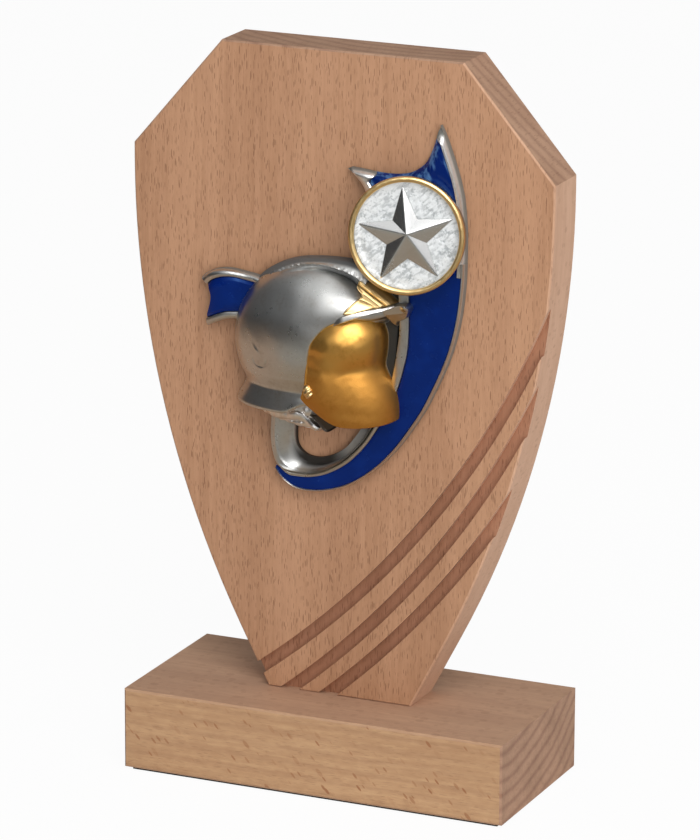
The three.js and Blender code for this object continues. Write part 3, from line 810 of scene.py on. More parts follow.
@dataclass(frozen=True)
class Enamel(Finish):
    """Deep blue enamel under a glossy skin, a little uneven from the brush."""

    name: str = "enamel_skin"
    slot: str = "blue_enamel"
    colour: tuple = (0.0006, 0.0105, 0.118)
    thin: tuple = (0.0015, 0.018, 0.165)
    # The paler blue is a painted sheen, standing in for light reflected on the upper enamel.
    painted_sheen: tuple = (0.10, 0.22, 0.45)
    sheen_heights: tuple = (131.0, 138.0)
    stroke_sizes: tuple = (1.8, 1, 6.0)
    stroke_turn: tuple = (0, 24, 0)
    brush_size: float = 5.0
    skin_size: float = 1.8
    grain_size: float = 0.3

    def paint(self, bench: Bench) -> None:
        """Noise mixes the deep colour with the thin one, and lifts the skin a little.

        Above the heights given, slanted strokes paint a paler blue: a painted sheen of reflected
        light on the enamel.

        Args:
            bench: The tree.
        """
        place = bench.millimetres()
        slanted = bench.mapped(place, turn=self.stroke_turn)
        strokes = bench.stretched(slanted, self.stroke_sizes, 2.0, 0.6).step(0.44, 0.66)
        # Painted sheen: above the heights given, slanted strokes turn the blue paler.
        painted_sheen = bench.axis(place, "Z").step(*self.sheen_heights) * strokes * 0.8
        brush = bench.noise(place, self.brush_size).step(0.45, 0.8) * 0.7
        skin = bench.noise(place, self.skin_size)
        grain = bench.noise(place, self.grain_size, 2.0, 0.6)
        blue = bench.mix(brush, self.colour, self.thin)
        bench.surface({
            "Base Color": bench.mix(painted_sheen, blue, self.painted_sheen),
            "Roughness": 0.24 + (skin - 0.5) * 0.2,
            "Specular IOR Level": 0.5,
            "Specular Tint": (0.25, 0.55, 1.0, 1.0),
            "Normal": bench.bump(grain, 0.01, 0.5, bench.bump(skin, 0.05, 0.8))})


@dataclass(frozen=True)
class Felt(Finish):
    """Dark felt: two sets of matted fibres, each by its sizes across and along, and its turn."""

    name: str = "matted_felt"
    slot: str = "felt"
    colour: tuple = (0.024, 0.023, 0.021)
    lint: tuple = (0.075, 0.07, 0.064)
    fibres: tuple = ((0.25, 1.6, 20), (1.6, 0.25, -35))

    def paint(self, bench: Bench) -> None:
        """Two noises stretched across each other make the matted fibres.

        Args:
            bench: The tree.
        """
        place = bench.millimetres()
        one, two = (bench.noise(bench.mapped(place, (1 / wide, 1 / long, 1), (0, 0, turn)), 1.0)
                    for wide, long, turn in self.fibres)
        matted = one.at_least(two)
        bench.surface({
            "Base Color": bench.mix(matted.step(0.5, 0.8), self.colour, self.lint),
            "Roughness": 0.95,
            "Sheen Weight": 0.3,
            "Normal": bench.bump(matted, 0.15, 0.9)})


@dataclass(frozen=True)
class Zinc(Finish):
    """Zinc plate on a steel screw, with faint turning marks."""

    name: str = "zinc_plate"
    slot: str = "zinc"
    colour: tuple = (0.52, 0.53, 0.54)
    dull: tuple = (0.34, 0.35, 0.34)
    spangle_size: float = 1.1
    turning_scale: tuple = (1, 1, 9)

    def paint(self, bench: Bench) -> None:
        """Spangled noise sets colour and gloss.

        Args:
            bench: The tree.
        """
        place = bench.millimetres()
        spangle = bench.noise(place, self.spangle_size, 2.0, 0.6)
        turning = bench.noise(bench.mapped(place, self.turning_scale), 1.0, 1.0)
        bench.surface({
            "Base Color": bench.mix(spangle.step(0.4, 0.65), self.colour, self.dull),
            "Metallic": 1.0,
            "Roughness": 0.32 + (spangle - 0.5) * 0.3,
            "Normal": bench.bump(turning, 0.03, 0.6)})


@dataclass(frozen=True)
class Foam(Finish):
    """Pale adhesive foam with fine cells."""

    name: str = "foam_cells"
    slot: str = "foam"
    colour: tuple = (0.71, 0.69, 0.64)
    cell: tuple = (0.48, 0.46, 0.42)
    cells_per_mm: float = 2.6

    def paint(self, bench: Bench) -> None:
        """Small Voronoi cells pit the foam.

        Args:
            bench: The tree.
        """
        cells = bench.voronoi(bench.millimetres(), self.cells_per_mm, "Distance")
        bench.surface({
            "Base Color": bench.mix(cells.step(0.35, 0.1) * 0.6, self.colour, self.cell),
            "Roughness": 0.85,
            "Normal": bench.bump(cells, 0.1, 0.8)})


SHIELD_BEECH = Beech()
BLOCK_BEECH = Beech(
    "beech_level", grain=Grain.LEVEL,
    face=((0.59, 0.37, 0.205), (0.455, 0.264, 0.142)),
    # The block's side tones, which its top also takes, are lighter and greyer partly as painted
    # light, evening out the shade and sheen on the top.
    side=((0.565, 0.352, 0.23), (0.47, 0.285, 0.186)),
    end=((0.48, 0.292, 0.195), (0.36, 0.216, 0.143)),
    dash_shares=(0.24, 0.16, 0.2), fleck_shares=(0.85, 0.1, 0.1), ring_shares=(0.2, 0.11, 0.62),
    heart=(72.0, -19.0), groove_shade_share=0.0, mottling=0.9)
SILVER = Plated(grain=0.005)
BRIGHT_FOIL = Plated("silver_foil", colour=(0.66, 0.66, 0.655), toned=(0.58, 0.575, 0.56),
                     gloss=0.23, grain=0.0)
# A darker copy of the silver plate: painted shade on the medallion's cup under the ring.
DARK_SILVER = Plated("dark_plate", "dark_silver", (0.34, 0.33, 0.31), (0.20, 0.18, 0.155), 0.36)
# A near-black sheet colour: painted shade for the hollow under the lining.
HOLLOW_SHADE = Plated("hollow_painted_shade", "silver", (0.10, 0.088, 0.075), (0.05, 0.042, 0.036), 0.4)
# The web is painted near black as shade: it lies in the shadow behind the visor and the medallion.
SHADED_WEB = Plated("web_painted_shade", "dark_silver", (0.15, 0.15, 0.145), (0.07, 0.066, 0.06), 0.38,
                  low=(0.02, 0.02, 0.018))
# The crest's lower parts take a near-black low colour: painted shade.
CREST_SILVER = Plated("crest_plate", low=(0.11, 0.115, 0.115), wood_shade_depths=(-11.9, -11.0))
# The loop's deep slope by the hole takes a near-black low colour: painted shade.
LOOP_SILVER = Plated("loop_plate", low=(0.02, 0.018, 0.016), wood_shade_depths=(-9.7, -8.0))
# A lighter copy of the silver plate: painted light that brightens the swallowtail, the lining and
# the chin strap.
PALE_SILVER = Plated("pale_silver", "silver", (0.86, 0.84, 0.82), (0.56, 0.53, 0.50), 0.32)
# The visor's satin lower part is rougher, and darker as painted shade over its highlight.
VISOR_GOLD = Plated("visor_plate", "gold", (0.80, 0.43, 0.105), (0.47, 0.20, 0.033), 0.36, 0.028,
                    satin=0.2)
PALE_GOLD = Plated("pale_gold", "gold", (0.87, 0.62, 0.29), (0.66, 0.40, 0.13), 0.34, 0.012)
FROST = Frost()
BLUE = Enamel()


# Forms of the relief.


@dataclass(frozen=True)
class HalfRound:
    """Half-ellipses stacked up the wood, as rows of up, left, right and rise."""

    stations: Array
    power: float = 2.0

    def height(self, u: Array, v: Array) -> Array:
        """Rise times the root, by the power, of 1 less the distance over the half to the power.

        Args:
            u: Places across.
            v: Places up.

        Returns:
            The heights.
        """
        up, left, right, rise = self.stations.T
        west, east = np.interp(v, up, left), np.interp(v, up, right)
        share = np.abs((u - (west + east) / 2) / ((east - west) / 2))
        return np.interp(v, up, rise) * np.clip(1 - share ** self.power, 0, 1) ** (1 / self.power)


@dataclass(frozen=True)
class Strap:
    """A flat band between two edges, with columns at set distances from either edge."""

    left: Array
    right: Array
    start: Array | None = None
    end: Array | None = None
    fill: int = 0
    fullest: float = 0.98

    def grid(self, from_left: Columns, from_right: Columns) -> Array:
        """Lays columns over the band and gives each its height.

        Where the band has its own end curves, the place is the Coons patch of its four edges:
        the blend across, plus the blend along, less the blend of the four corners. Columns
        between the two lists climb in a straight line.

        Args:
            from_left: Pairs of the distance from the left edge, along the band, and the height.
            from_right: The same from the right edge, in their order across.

        Returns:
            Rows along the band, columns across it, three numbers each.
        """
        count = len(self.left)
        width = np.linalg.norm(self.right - self.left, axis=1)
        offsets = [np.stack([np.broadcast_to(np.asarray(place, float), (count,))
                             for place, _ in side], axis=1) for side in (from_left, from_right)]
        reach = sum(side.max() for side in offsets)
        squeeze = np.minimum(1, self.fullest * width / reach)
        west, east = (np.clip(side * (squeeze / np.maximum(width, TINY))[:, None], 0, 1)
                      for side in offsets)
        first, last = west[:, -1:], 1 - east[:, :1]
        between = np.linspace(0, 1, self.fill + 2)[1:-1]
        across = np.hstack([west, first + (last - first) * between, 1 - east])
        low, high = from_left[-1][1], from_right[0][1]
        height = np.concatenate([[h for _, h in from_left], low + (high - low) * between,
                                 [h for _, h in from_right]])
        t = across[..., None]
        flat = (1 - t) * self.left[:, None] + t * self.right[:, None]
        s = np.linspace(0, 1, count)[:, None, None]
        for curve, weight in ((self.start, 1 - s), (self.end, s)):
            if curve is not None:
                chord = (1 - t) * curve[0] + t * curve[-1]
                flat = flat + weight * (sample(curve, across) - chord)
        return lifted(flat, height[None])


@dataclass
class Ribbon:
    """The ribbon: its swallowtail, its long sweep, the turned loop, the short tail and the web.

    flap and band are a rim's width, what it gains at the end, and over which share. loop_depth
    is a share of the width, the deepest fall, and how much less it is where the loop turns.
    wave is its height, its start and its length, and wave_end a drop between two places.
    """

    stations: int = 220
    tail_stations: int = 110
    end_stations: int = 300
    swallow_left: tuple = (
        (3.6, 52.9), (5.6, 51.5), (7.2, 49.9), (8.4, 47.8), (9.6, 44.5), (10.6, 40), (11, 33))
    swallow_right: tuple = (
        (27.3, 65.6), (28.3, 63.6), (29.2, 61.5), (30.5, 58), (31.7, 54.5), (32.7, 51),
        (33.4, 47.5), (34, 41), (34.05, 35), (33.9, 29.5))
    swallow_end: tuple = (
        swallow_left[0], (4.8, 53.35), (6.6, 53.15), (8.8, 52.85), (12, 52.6), (15, 52.6),
        (17.4, 52.85), (19, 53.2), (20.8, 54), (22.5, 55.2), (23.8, 56.7), (25.2, 59.7),
        (26.1, 62.4), (26.7, 64.2), swallow_right[0])
    sweep_outer: tuple = (
        (34.05, 33), (33.8, 27), (32.8, 19), (31.1, 12), (29.1, 6.5), (26.6, 1), (24.1, -4),
        (21.1, -8.7), (18.1, -13), (15.1, -16.6), (12, -19.7), (8.5, -22.5), (4.8, -24.8),
        (1.2, -26.3), (-2.8, -27.3), (-6.8, -27.6), (-9.8, -27.1), (-11.8, -26), (-13.3, -24.5),
        (-14.6, -22.6))
    sweep_inner: tuple = (
        (17.2, 31), (17.3, 24), (17.6, 17), (17.5, 14), (17.1, 11), (16.5, 7), (15.8, 3.4),
        (15, 0), (13.6, -4.6), (11.6, -8.4), (9.2, -12.4), (7.2, -14.9), (5.2, -17), (3.2, -18.8),
        (0.6, -20.5), (-2.2, -21.9), (-5, -22.8), (-7.4, -23), (-10.8, -22.9), (-12.4, -22.3),
        (-14.2, -21.6))
    blue_inner: tuple = (
        (19.9, 30), (19.9, 24), (19.9, 19), (19.9, 15), (19.7, 11), (19.3, 8), (18.6, 5.2),
        (17.8, 2.4), (16.7, -0.7), (15.2, -3.8), (12.5, -8.8), (10.2, -12.5), (8.2, -15.2),
        (6.2, -17.4), (4.2, -19.3), (1.3, -21.3), (-1.8, -22.9), (-4.9, -23.8), (-7.2, -24.1),
        (-10.8, -24.1), (-12.5, -23.4), (-14.1, -22.1))
    loop_outer: tuple = (
        (11.4, -8.6), *sweep_inner[10:18], (-10.6, -22.9), (-12.7, -22.5), (-14.2, -21.2),
        (-15.1, -18.8), (-15.6, -16), (-15.7, -13), (-15.5, -9), (-15.6, -4))
    loop_inner: tuple = (
        (8.2, -8.2), (7.4, -10.6), (5.8, -13), (4, -15.2), (2, -16.8), (0, -18), (-2, -18.8),
        (-4, -19.2), (-6, -19.1), (-7.5, -18.5), (-8.8, -17.4), (-9.5, -16), (-9.7, -14),
        (-9.5, -11), (-9, -8), (-8, -4))
    tail_top: tuple = (
        (-34.7, 22.4), (-33.1, 23.75), (-31, 24.7), (-29, 25.15), (-27, 25.25), (-25, 25.05),
        (-23, 24.75), (-19.3, 24.1), (-13, 21.5))
    tail_bottom: tuple = (
        (-32.9, 10.6), (-31.5, 11.25), (-29.6, 12.15), (-27.6, 12.85), (-25, 13.1), (-20, 13.1),
        (-16, 13))
    tail_end: tuple = (
        tail_bottom[0], (-33.05, 12.5), (-32.65, 14), (-32.1, 15.5), (-31.7, 16.9), (-31.55, 18.3),
        (-31.9, 19.7), (-32.7, 20.9), (-34, 21.9), tail_top[0])
    web: tuple = (
        (17.5, 24), (15.9, 4), (12.5, -6), (8, -7.4), (0, -6.9), (-8.5, -7.5), (-15.4, -8),
        (-17.5, 2), (-18.5, 10), (-15.5, 19), (-9, 24.2), (0, 25.7), (5.4, 28), (6.2, 34),
        (7.6, 42), (13, 46), (20, 44), (24, 36), (20, 28))
    web_centre: tuple = (1, 12)
    web_edge: tuple = ((0, 0), (0.4, 0), (0.8, 0), (0.97, 0), (0.99, -0.08), (1.0, -0.3))
    flap: tuple = (2.6, 3.6, 0.2)
    band: tuple = (1.75, 1.1, 0.1)
    roll_fall: float = 1.8
    roll_share: float = 0.12
    wall_top: float = 1.8
    enamel_depth: float = 0.45
    outer_rim: float = 0.62
    rim_wall: float = 2.3
    tail_crown: float = 0.45
    loop_depth: tuple = (0.82, 3.1, 1.0)
    loop_height: float = 3.75
    loop_turn: tuple = (0.5, 0.8)
    wave: tuple = (0.55, 33, 15)
    wave_end: tuple = (0.5, -31, -34)

    def rim(self, width: Array) -> Columns:
        """The columns of a raised rim, from its wall in to the recess beside it.

        Args:
            width: How wide the rim is at each station.

        Returns:
            The columns, from the edge inwards.
        """
        wall = self.rim_wall
        return [(0, 0.6), (0, 1.6), (0.02, wall), (0.1, wall + 0.42), (0.24, wall + 0.66),
                (np.maximum(width * 0.45, 0.4), RIM_TOP + 0.05), (width - 0.22, RIM_TOP),
                (width - 0.08, RIM_TOP - 0.12), (width - 0.02, RIM_TOP - 0.4),
                (width, RECESS_FLOOR)]

    @staticmethod
    def field(left: Any, right: Any, crown: float = 0.06) -> tuple[Columns, Columns]:
        """The columns of an enamelled field that fills the recess, with a rolled edge.

        Args:
            left: How far the field begins from the left edge.
            right: How far it ends from the right edge.
            crown: How much its middle stands over its edges.

        Returns:
            The columns from the left edge and from the right edge.
        """
        edge = ((0, -0.3), (0.1, -0.06), (0.3, 0), (0.9, crown), (2.2, crown))
        return ([(left + inward, ENAMEL_TOP + height) for inward, height in edge],
                [(right + inward, ENAMEL_TOP + height) for inward, height in edge[::-1]])

    def swallowtail(self) -> None:
        """The upper end: a Coons patch that narrows to two points, rolled over at its end."""
        strap = Strap(smooth_path(self.swallow_left, self.stations),
                      smooth_path(self.swallow_right, self.stations),
                      smooth_path(self.swallow_end, self.end_stations), fill=26)
        share = np.linspace(0, 1, self.stations)
        flap, band = (width + growth * smoothstep(share, reach, 0)
                      for width, growth, reach in (self.flap, self.band))
        cast = self.rolled(strap.grid(
            [(0, 0.6), (0, 1.5), (0.06, 2.1), (0.3, 2.6), (0.8, 2.95), (flap * 0.5, 3.3),
             (flap - 0.5, 3.35), (flap - 0.15, 3.1), (flap, RECESS_FLOOR)],
            [(band, RECESS_FLOOR), (band - 0.06, 2.9), (band - 0.25, 3.15), (band - 0.45, 3.12),
             (band - 0.62, 2.92), (band - 0.8, 3.12), (band * 0.45, 2.95), (0.3, 2.2),
             (0.08, 1.7), (0, 1.3), (0, 0.6)]), share)
        Piece("ribbon_swallowtail", ("ribbon_casting",), PALE_SILVER).down_to(cast, WEB_BOTTOM)
        blue = self.rolled(strap.grid(*self.field(flap, band)), share)
        Piece("swallowtail_field", ("enamel_swallowtail",), BLUE).down_to(
            blue, blue[..., 2] - self.enamel_depth)

    def rolled(self, top: Array, share: Array) -> Array:
        """Rolls the first rows of a grid over towards the wood: the fall grows as a square.

        Args:
            top: The grid.
            share: Each row's share of the way along the band.

        Returns:
            The rolled grid.
        """
        fall = self.roll_fall * np.clip(1 - share / self.roll_share, 0, 1) ** 2
        height = top[..., 2] - fall[:, None] * (top[..., 2] > self.wall_top)
        return lifted(top[..., :2], np.maximum(height, 0.5))

    def waved(self, top: Array) -> Array:
        """Waves a grid: what stands above the wall follows a sine along u, and dips at its end.

        Args:
            top: The grid.

        Returns:
            The waved grid.
        """
        (rise, start, length), (dip, *span) = self.wave, self.wave_end
        wave = rise * np.sin((top[..., 0] + start) * math.tau / length)
        wave -= dip * smoothstep(top[..., 0], *span)
        return lifted(top[..., :2], top[..., 2] + wave * (top[..., 2] > self.wall_top))

    def sweep(self) -> None:
        """The long sweep: a band of changing width, its enamel in a recess between two rims."""
        outer, inner, blue = (smooth_path(line, self.stations) for line in (
            self.sweep_outer, self.sweep_inner, self.blue_inner))
        width = np.linalg.norm(outer - inner, axis=1)
        inner_rim = np.minimum(np.linalg.norm(blue - inner, axis=1), 0.45 * width)
        outer_rim = np.minimum(self.outer_rim, 0.2 * width)
        strap = Strap(inner, outer, fill=8)
        Piece("ribbon_sweep", ("ribbon_casting",), SILVER).down_to(
            strap.grid(self.rim(inner_rim), self.rim(outer_rim)[::-1]), WEB_BOTTOM)
        Piece("sweep_field", ("enamel_sweep",), BLUE).down_to(
            strap.grid(*self.field(inner_rim, outer_rim)), RECESS_FLOOR - 0.2)

    def loop(self) -> None:
        """The turned loop: its reverse falls from the outer edge to the hole like a cone."""
        outer = smooth_path(self.loop_outer, self.stations)
        inner = smooth_path(self.loop_inner, self.stations)
        width = np.linalg.norm(outer - inner, axis=1)
        falls = np.linspace(0.1, 0.93, 30)
        edge = [(0, 0.6), (0, 2.3), (0.06, 3.0), (0.2, 3.5)]
        cast = Strap(outer, inner).grid(edge + [(np.maximum(width * f, 0.25), 0.0) for f in falls],
                                        [(0.12, 0.0), (0.03, 0.7), (0, 0.5)])
        share = np.linspace(0, 1, self.stations)[:, None]
        turned = smoothstep(share, *self.loop_turn)
        slope = falls[None] - 0.28 * turned
        by_width, most, less = self.loop_depth
        fall = np.minimum(by_width * width[:, None], most - less * turned)
        ground = self.loop_height - fall * np.clip(slope, 0, 1) ** 1.05
        ground -= 0.5 * np.clip(-slope, 0, 1)
        ground += 0.3 * bell(falls[None], 0.34 - 0.12 * share, 0.05) * turned
        cast[:, len(edge):len(edge) + len(falls), 2] = ground
        cast[:, len(edge) + len(falls), 2] = ground[:, -1] + 0.1
        Piece("ribbon_loop", ("ribbon_casting",), LOOP_SILVER).down_to(cast, WEB_BOTTOM)

    def tail(self) -> None:
        """The short tail: two rounded bands with enamel between them, waved along its length."""
        strap = Strap(smooth_path(self.tail_bottom, self.tail_stations),
                      smooth_path(self.tail_top, self.tail_stations),
                      smooth_path(self.tail_end, self.end_stations), fill=12)
        lower = [(0, 0.5), (0, 1.7), (0.08, 2.4), (0.3, 2.8), (0.75, 3.05), (1.3, 3.1),
                 (1.75, 2.95), (1.9, RECESS_FLOOR)]
        upper = [(2.15, RECESS_FLOOR), (2.0, 3.0), (1.6, 3.3), (1.1, 3.35), (0.55, 3.15),
                 (0.2, 2.8), (0.05, 2.3), (0, 1.6), (0, 0.5)]
        Piece("ribbon_tail", ("ribbon_casting",), SILVER).down_to(
            self.waved(strap.grid(lower, upper)), WEB_BOTTOM)
        field = self.field(lower[-1][0], upper[0][0], self.tail_crown)
        Piece("tail_field", ("enamel_tail",), BLUE).down_to(
            self.waved(strap.grid(*field)), RECESS_FLOOR - 0.4)

    def plate(self) -> None:
        """The web behind the helmet and the medallion: a flat fan with a rounded edge, in a
        near-black finish that is painted shade.
        """
        shares, rises = np.array(self.web_edge).T
        flat = fan(closed_path(self.web, 159), self.web_centre, shares)
        Piece("ribbon_web", ("ribbon_casting",), SHADED_WEB).fanned(
            flat, WEB_TOP + rises, WEB_BOTTOM + 0.1)

    def build(self) -> None:
        """Makes every part of the ribbon."""
        for make in (self.plate, self.swallowtail, self.sweep, self.loop, self.tail):
            make()


@dataclass
class Helmet:
    """The helmet: dome, crest, brow plate, peak, visor, pivot, lining and strap.

    Levels are rows of up, left, right and rise. opening_drop and opening_slope are a depth
    and the distances from the opening's edge between which it sets in. badge_ridge is a
    place on the ridge and the way across it. boss_heights are foot, shoulder and rise.
    """

    dome_middle: tuple = (-5.0, 9.8)
    dome_half: tuple = (20.8, 19.8)
    dome_rise: float = 13.0
    brow_reach: float = 5.0
    brow_span: tuple = (21, 12)
    dome_sweep: tuple = (-26, 89.5, 40)
    dome_levels: int = 330
    dome_places: int = 240
    neck: tuple = (
        (-5.4, -22.8, 7.4, 9.2), (-6.2, -23.9, 8.4, 10.3), (-6.35, -24.8, 9.2, 11.0),
        (-5.8, -25.1, 9.4, 11.3), (-4.7, -24.8, 9.6, 11.1), (-3.1, -23.9, 10.2, 10.8),
        (-1.7, -23.2, 11.4, 10.6), (-0.5, -22.95, 12.5, 10.62))
    visor_edge: tuple = (
        (0, -5), (-2.2, -3.3), (-3.6, -1.6), (-3.3, -0.2), (-2.7, 1.8), (-2.5, 4.9), (-2.4, 8),
        (-2.1, 10), (-1.6, 12), (-0.6, 14), (0.9, 15.8), (2.9, 17.2), (6.2, 18.4), (9.3, 19),
        (11.5, 18.9), (13.2, 17), (14.4, 14.5), (14.6, 11.5), (14.3, 8.5), (14, 6.5), (14.8, 4.3),
        (16.1, 2.3), (17.1, 0), (17.7, -2.5), (17.9, -5), (17.7, -6.6), (14.5, -7.3), (10, -7.7),
        (6, -7.6), (3, -6.7))
    opening: tuple = (
        (0, -4.6), (-2, -3), (-3, -1.6), (-2.9, -0.2), (-2.2, 1.8), (-2, 4.9), (-1.9, 8),
        (-1.6, 10), (-1.1, 12), (0, 13.8), (1.3, 15.4), (3.1, 16.8), (6.2, 17.9), (9.3, 18.5),
        (12, 18.3), (26, 17.5), (26, -12), (3, -12))
    opening_drop: tuple = (1.2, 0.1, -0.7)
    opening_slope: tuple = (1.1, -1, -4)
    ear: tuple = (-15, 6.6)
    ear_radius: float = 2.1
    neck_lift: float = 2.4
    visor_levels: tuple = (
        (-9.5, -13, 17, 12.3), (-8, -13.5, 17.6, 12.95), (-6, -14, 17.95, 13.5),
        (-4, -14.5, 18, 13.75), (-2.4, -15, 17.85, 14.05), (-1.2, -15.2, 17.6, 14.2),
        (0.5, -15.5, 17.05, 14.3), (2.5, -15.5, 16.1, 14.3), (4.4, -15.5, 14.9, 14.15),
        (6.4, -15, 14.15, 13.8), (9.2, -15, 14.5, 13.7), (11, -15, 14.72, 13.75),
        (12.8, -15, 14.7, 13.55), (14.6, -14.8, 14.5, 12.95), (16.4, -14.2, 13.75, 12),
        (18, -13, 12.6, 10.7), (19.5, -12, 11.3, 9.1), (21, -11, 10.2, 7.4))
    visor_power: float = 2.8
    visor_middle: tuple = (6.5, 4.5)
    visor_thickness: float = 1.5
    lining_levels: tuple = (
        (-10.9, -7, 1, 6.0), (-10.3, -10, 3, 6.8), (-9.5, -15.5, 4.2, 7.5),
        (-8.5, -18.5, 4.8, 7.9), (-7, -19.5, 5, 8.1), (-4.5, -20, 5, 8.2))
    hollow_edge: tuple = (
        (-2.9, -6.5), (-1.4, -7.9), (-0.2, -9.2), (0.8, -10.2), (1.6, -10.35), (2.6, -9.9),
        (3.8, -8.9), (5.2, -7.0), (3.5, -6.3), (0, -6.1))
    lining_foot: float = 0.3
    hollow_middle: tuple = (1.4, -8.2)
    hollow_level: float = 8.3
    hollow_foot: float = 5.0
    crest_outer: tuple = (
        (-20.2, 23.6), (-17, 26.4), (-13, 28.7), (-8.5, 30.15), (-5, 30.65), (-1.8, 30.9), (2, 31),
        (5, 30.9), (8, 30.3), (11, 29))
    crest_line: tuple = (
        (-18.9, 22.9, 2.6), (-15.6, 25.9, 3.8), (-11.6, 28, 4.4), (-7.6, 29.2, 4.8),
        (-3.6, 29.75, 5), (0, 29.75, 5.2), (3, 29.3, 5.4), (6, 28.5, 5.6), (8.4, 27.4, 5.8),
        (10.2, 26.3, 6))
    crest_inner: tuple = (
        (-17.4, 22), (-14.2, 24.5), (-10.4, 26.6), (-6.8, 27.7), (-3.4, 28.2), (-0.4, 28.1),
        (2, 27.6), (4.4, 26.8), (6.8, 25.6), (8.6, 24.6))
    crest_foot: float = 0.5
    badge_edge: tuple = (
        (6.2, 19.5), (6.9, 20.8), (8.0, 22), (9, 23), (9.5, 23.9), (8.7, 24.8), (8.2, 25.8),
        (8.5, 27.1), (10.2, 26.8), (12.6, 25.5), (15, 23.9), (17.3, 22.1), (16.5, 21.5),
        (14.4, 21.0), (11.5, 20.4), (8.5, 19.7))
    badge_ridge: tuple = ((8.3, 25.4), (0.542, 0.84))
    badge_profile: tuple = (
        (-6.5, 1.1), (-4.5, 1.1), (-2.5, 1.25), (-1, 1.6), (-0.25, 1.9), (0, 2.05), (0.5, 2.0),
        (0.72, 1.6), (0.95, 1.9), (1.6, 1.85), (1.9, 1.4), (3.5, -1.7))
    badge_middle: tuple = (11.4, 22.8)
    badge_thickness: float = 2.2
    badge_least: float = 2.2
    lip_edge: tuple = (
        (4.2, 16.7), (5.9, 17.4), (8.9, 18.6), (11.7, 19.5), (13.9, 20.2), (15.4, 20.6),
        (17.8, 21.6), (17.2, 22.1), (15.5, 21.6), (13.8, 21.3), (11, 20.7), (8.4, 20), (6.2, 19.2),
        (4.9, 18.1))
    lip_middle: tuple = (10.5, 19.6)
    lip_thickness: float = 2.6
    point_edge: tuple = (
        (14.4, 20.3), (16.2, 21.2), (18.2, 22.1), (20.1, 22.4), (21.2, 21.3), (20.7, 19.8),
        (19.9, 18.6), (18.6, 17.8), (17.5, 17.2), (17, 16.1), (16.2, 16.8), (15.6, 17.9),
        (14.9, 19.2))
    point_middle: tuple = (17.8, 19.8)
    plate_foot: float = 1.4
    boss_place: tuple = (-1.0, 0.3)
    boss_radius: float = 1.35
    boss_turn: float = 2.2
    boss_heights: tuple = (10.6, 13.0, 1.6)
    band_left: tuple = ((-8.2, -6.2), (-6, -6), (-3, -7.6), (-0.2, -9.4))
    band_right: tuple = ((-8.6, -8), (-6.6, -8.2), (-4.4, -9.2), (-1.6, -10.6))
    band_stations: int = 80
    band_foot: float = 6.6

    def __post_init__(self) -> None:
        """Works out the dome's levels: neck rows, then an ellipse with a hump at the brow."""
        angle = np.radians(np.linspace(*self.dome_sweep))
        up = self.dome_middle[1] + self.dome_half[1] * np.sin(angle)
        half = self.dome_half[0] * np.cos(angle)
        at, span = self.brow_span
        brow = self.brow_reach * np.cos(np.pi * np.clip((up - at) / span, -0.5, 0.5)) ** 2
        rows = np.stack([up, self.dome_middle[0] - half, self.dome_middle[0] + half + brow,
                         self.dome_rise * np.cos(angle)], axis=-1)
        self.path = smooth_path(np.vstack([self.neck, rows[1:]]), self.dome_levels)
        self.dome = HalfRound(self.path[np.argmin(self.path[:, 0]):])
        self.face = HalfRound(smooth_path(self.visor_levels, 200), self.visor_power)
        self.hollow = closed_path(self.opening, 259)

    def shell(self) -> None:
        """The dome and its flared neck: half-ellipses, sunk inside the visor's opening."""
        u, v, arch = half_ellipses(self.path, self.dome_places)
        away = edge_distance(u, v, self.hollow)
        (drop, *drop_span), (slope, *slope_span) = self.opening_drop, self.opening_slope
        sunk = drop * smoothstep(away, *drop_span) + slope * smoothstep(away, *slope_span) * arch
        across, above = u - self.ear[0], v - self.ear[1]
        around = bell(np.hypot(across, above), self.ear_radius, 0.24)
        mark = -0.2 * around * smoothstep(above, 0.6, -0.4)
        mark += 0.2 * bell(np.hypot((u + 16.3 + 0.8 * (v - 9)) * 1.6, (v - 8.7) * 0.8), 0, 0.7)
        skin = 0.04 * ripple(u, v + arch, 7, 0.4)
        h = np.maximum(arch - sunk + mark + skin * (arch > 3), 0.4 * (arch > 0.4))
        lift = self.neck_lift * smoothstep(u, -9.5, -3) * smoothstep(v, -1, -6)
        top = np.stack([u, v + lift, h], axis=-1)
        foot = lifted(top[:, [-1, 0], :2], WEB_BOTTOM)
        Piece("helmet_dome", ("helmet_shell",), SILVER).rings(np.concatenate([top, foot], axis=1))

    def visor(self) -> None:
        """The visor: a fan over its own half-round, with two bulges, a crease and a raised edge."""
        shares = np.concatenate([np.sin(np.linspace(0, 1, 90)[:-14] * math.pi / 2),
                                 1 - np.geomspace(0.018, 0.0012, 26), [1.0]])
        flat, u, v, edge = deep_fan(self.visor_edge, 420, self.visor_middle, shares)
        crease = v - 5.8 - 0.32 * (u - 10.2)
        h = self.face.height(u, v)
        h -= 1.1 * bell(crease, 0, np.where(crease > 0, 2.5, 12.0)) * smoothstep(u, 1, 10)
        h -= 1.5 * np.clip(1 - edge / 7.0, 0, 1) ** 2 * smoothstep(u, 8, 0)
        h += 0.22 * bell(edge, 0.35, 0.3) * smoothstep(u, 13, 9) * smoothstep(v, -4, -1)
        h += 0.05 * ripple(u, v, 3.4, 1.3) - 0.5 * smoothstep(edge, 0.28, 0) ** 2
        h = np.maximum(h, WEB_TOP)
        thick = np.where(shares < 1, self.visor_thickness, 1.2)
        Piece("helmet_visor_gold", ("helmet_visor",), VISOR_GOLD).fanned(
            flat, h, np.maximum(h - thick, 1.2))

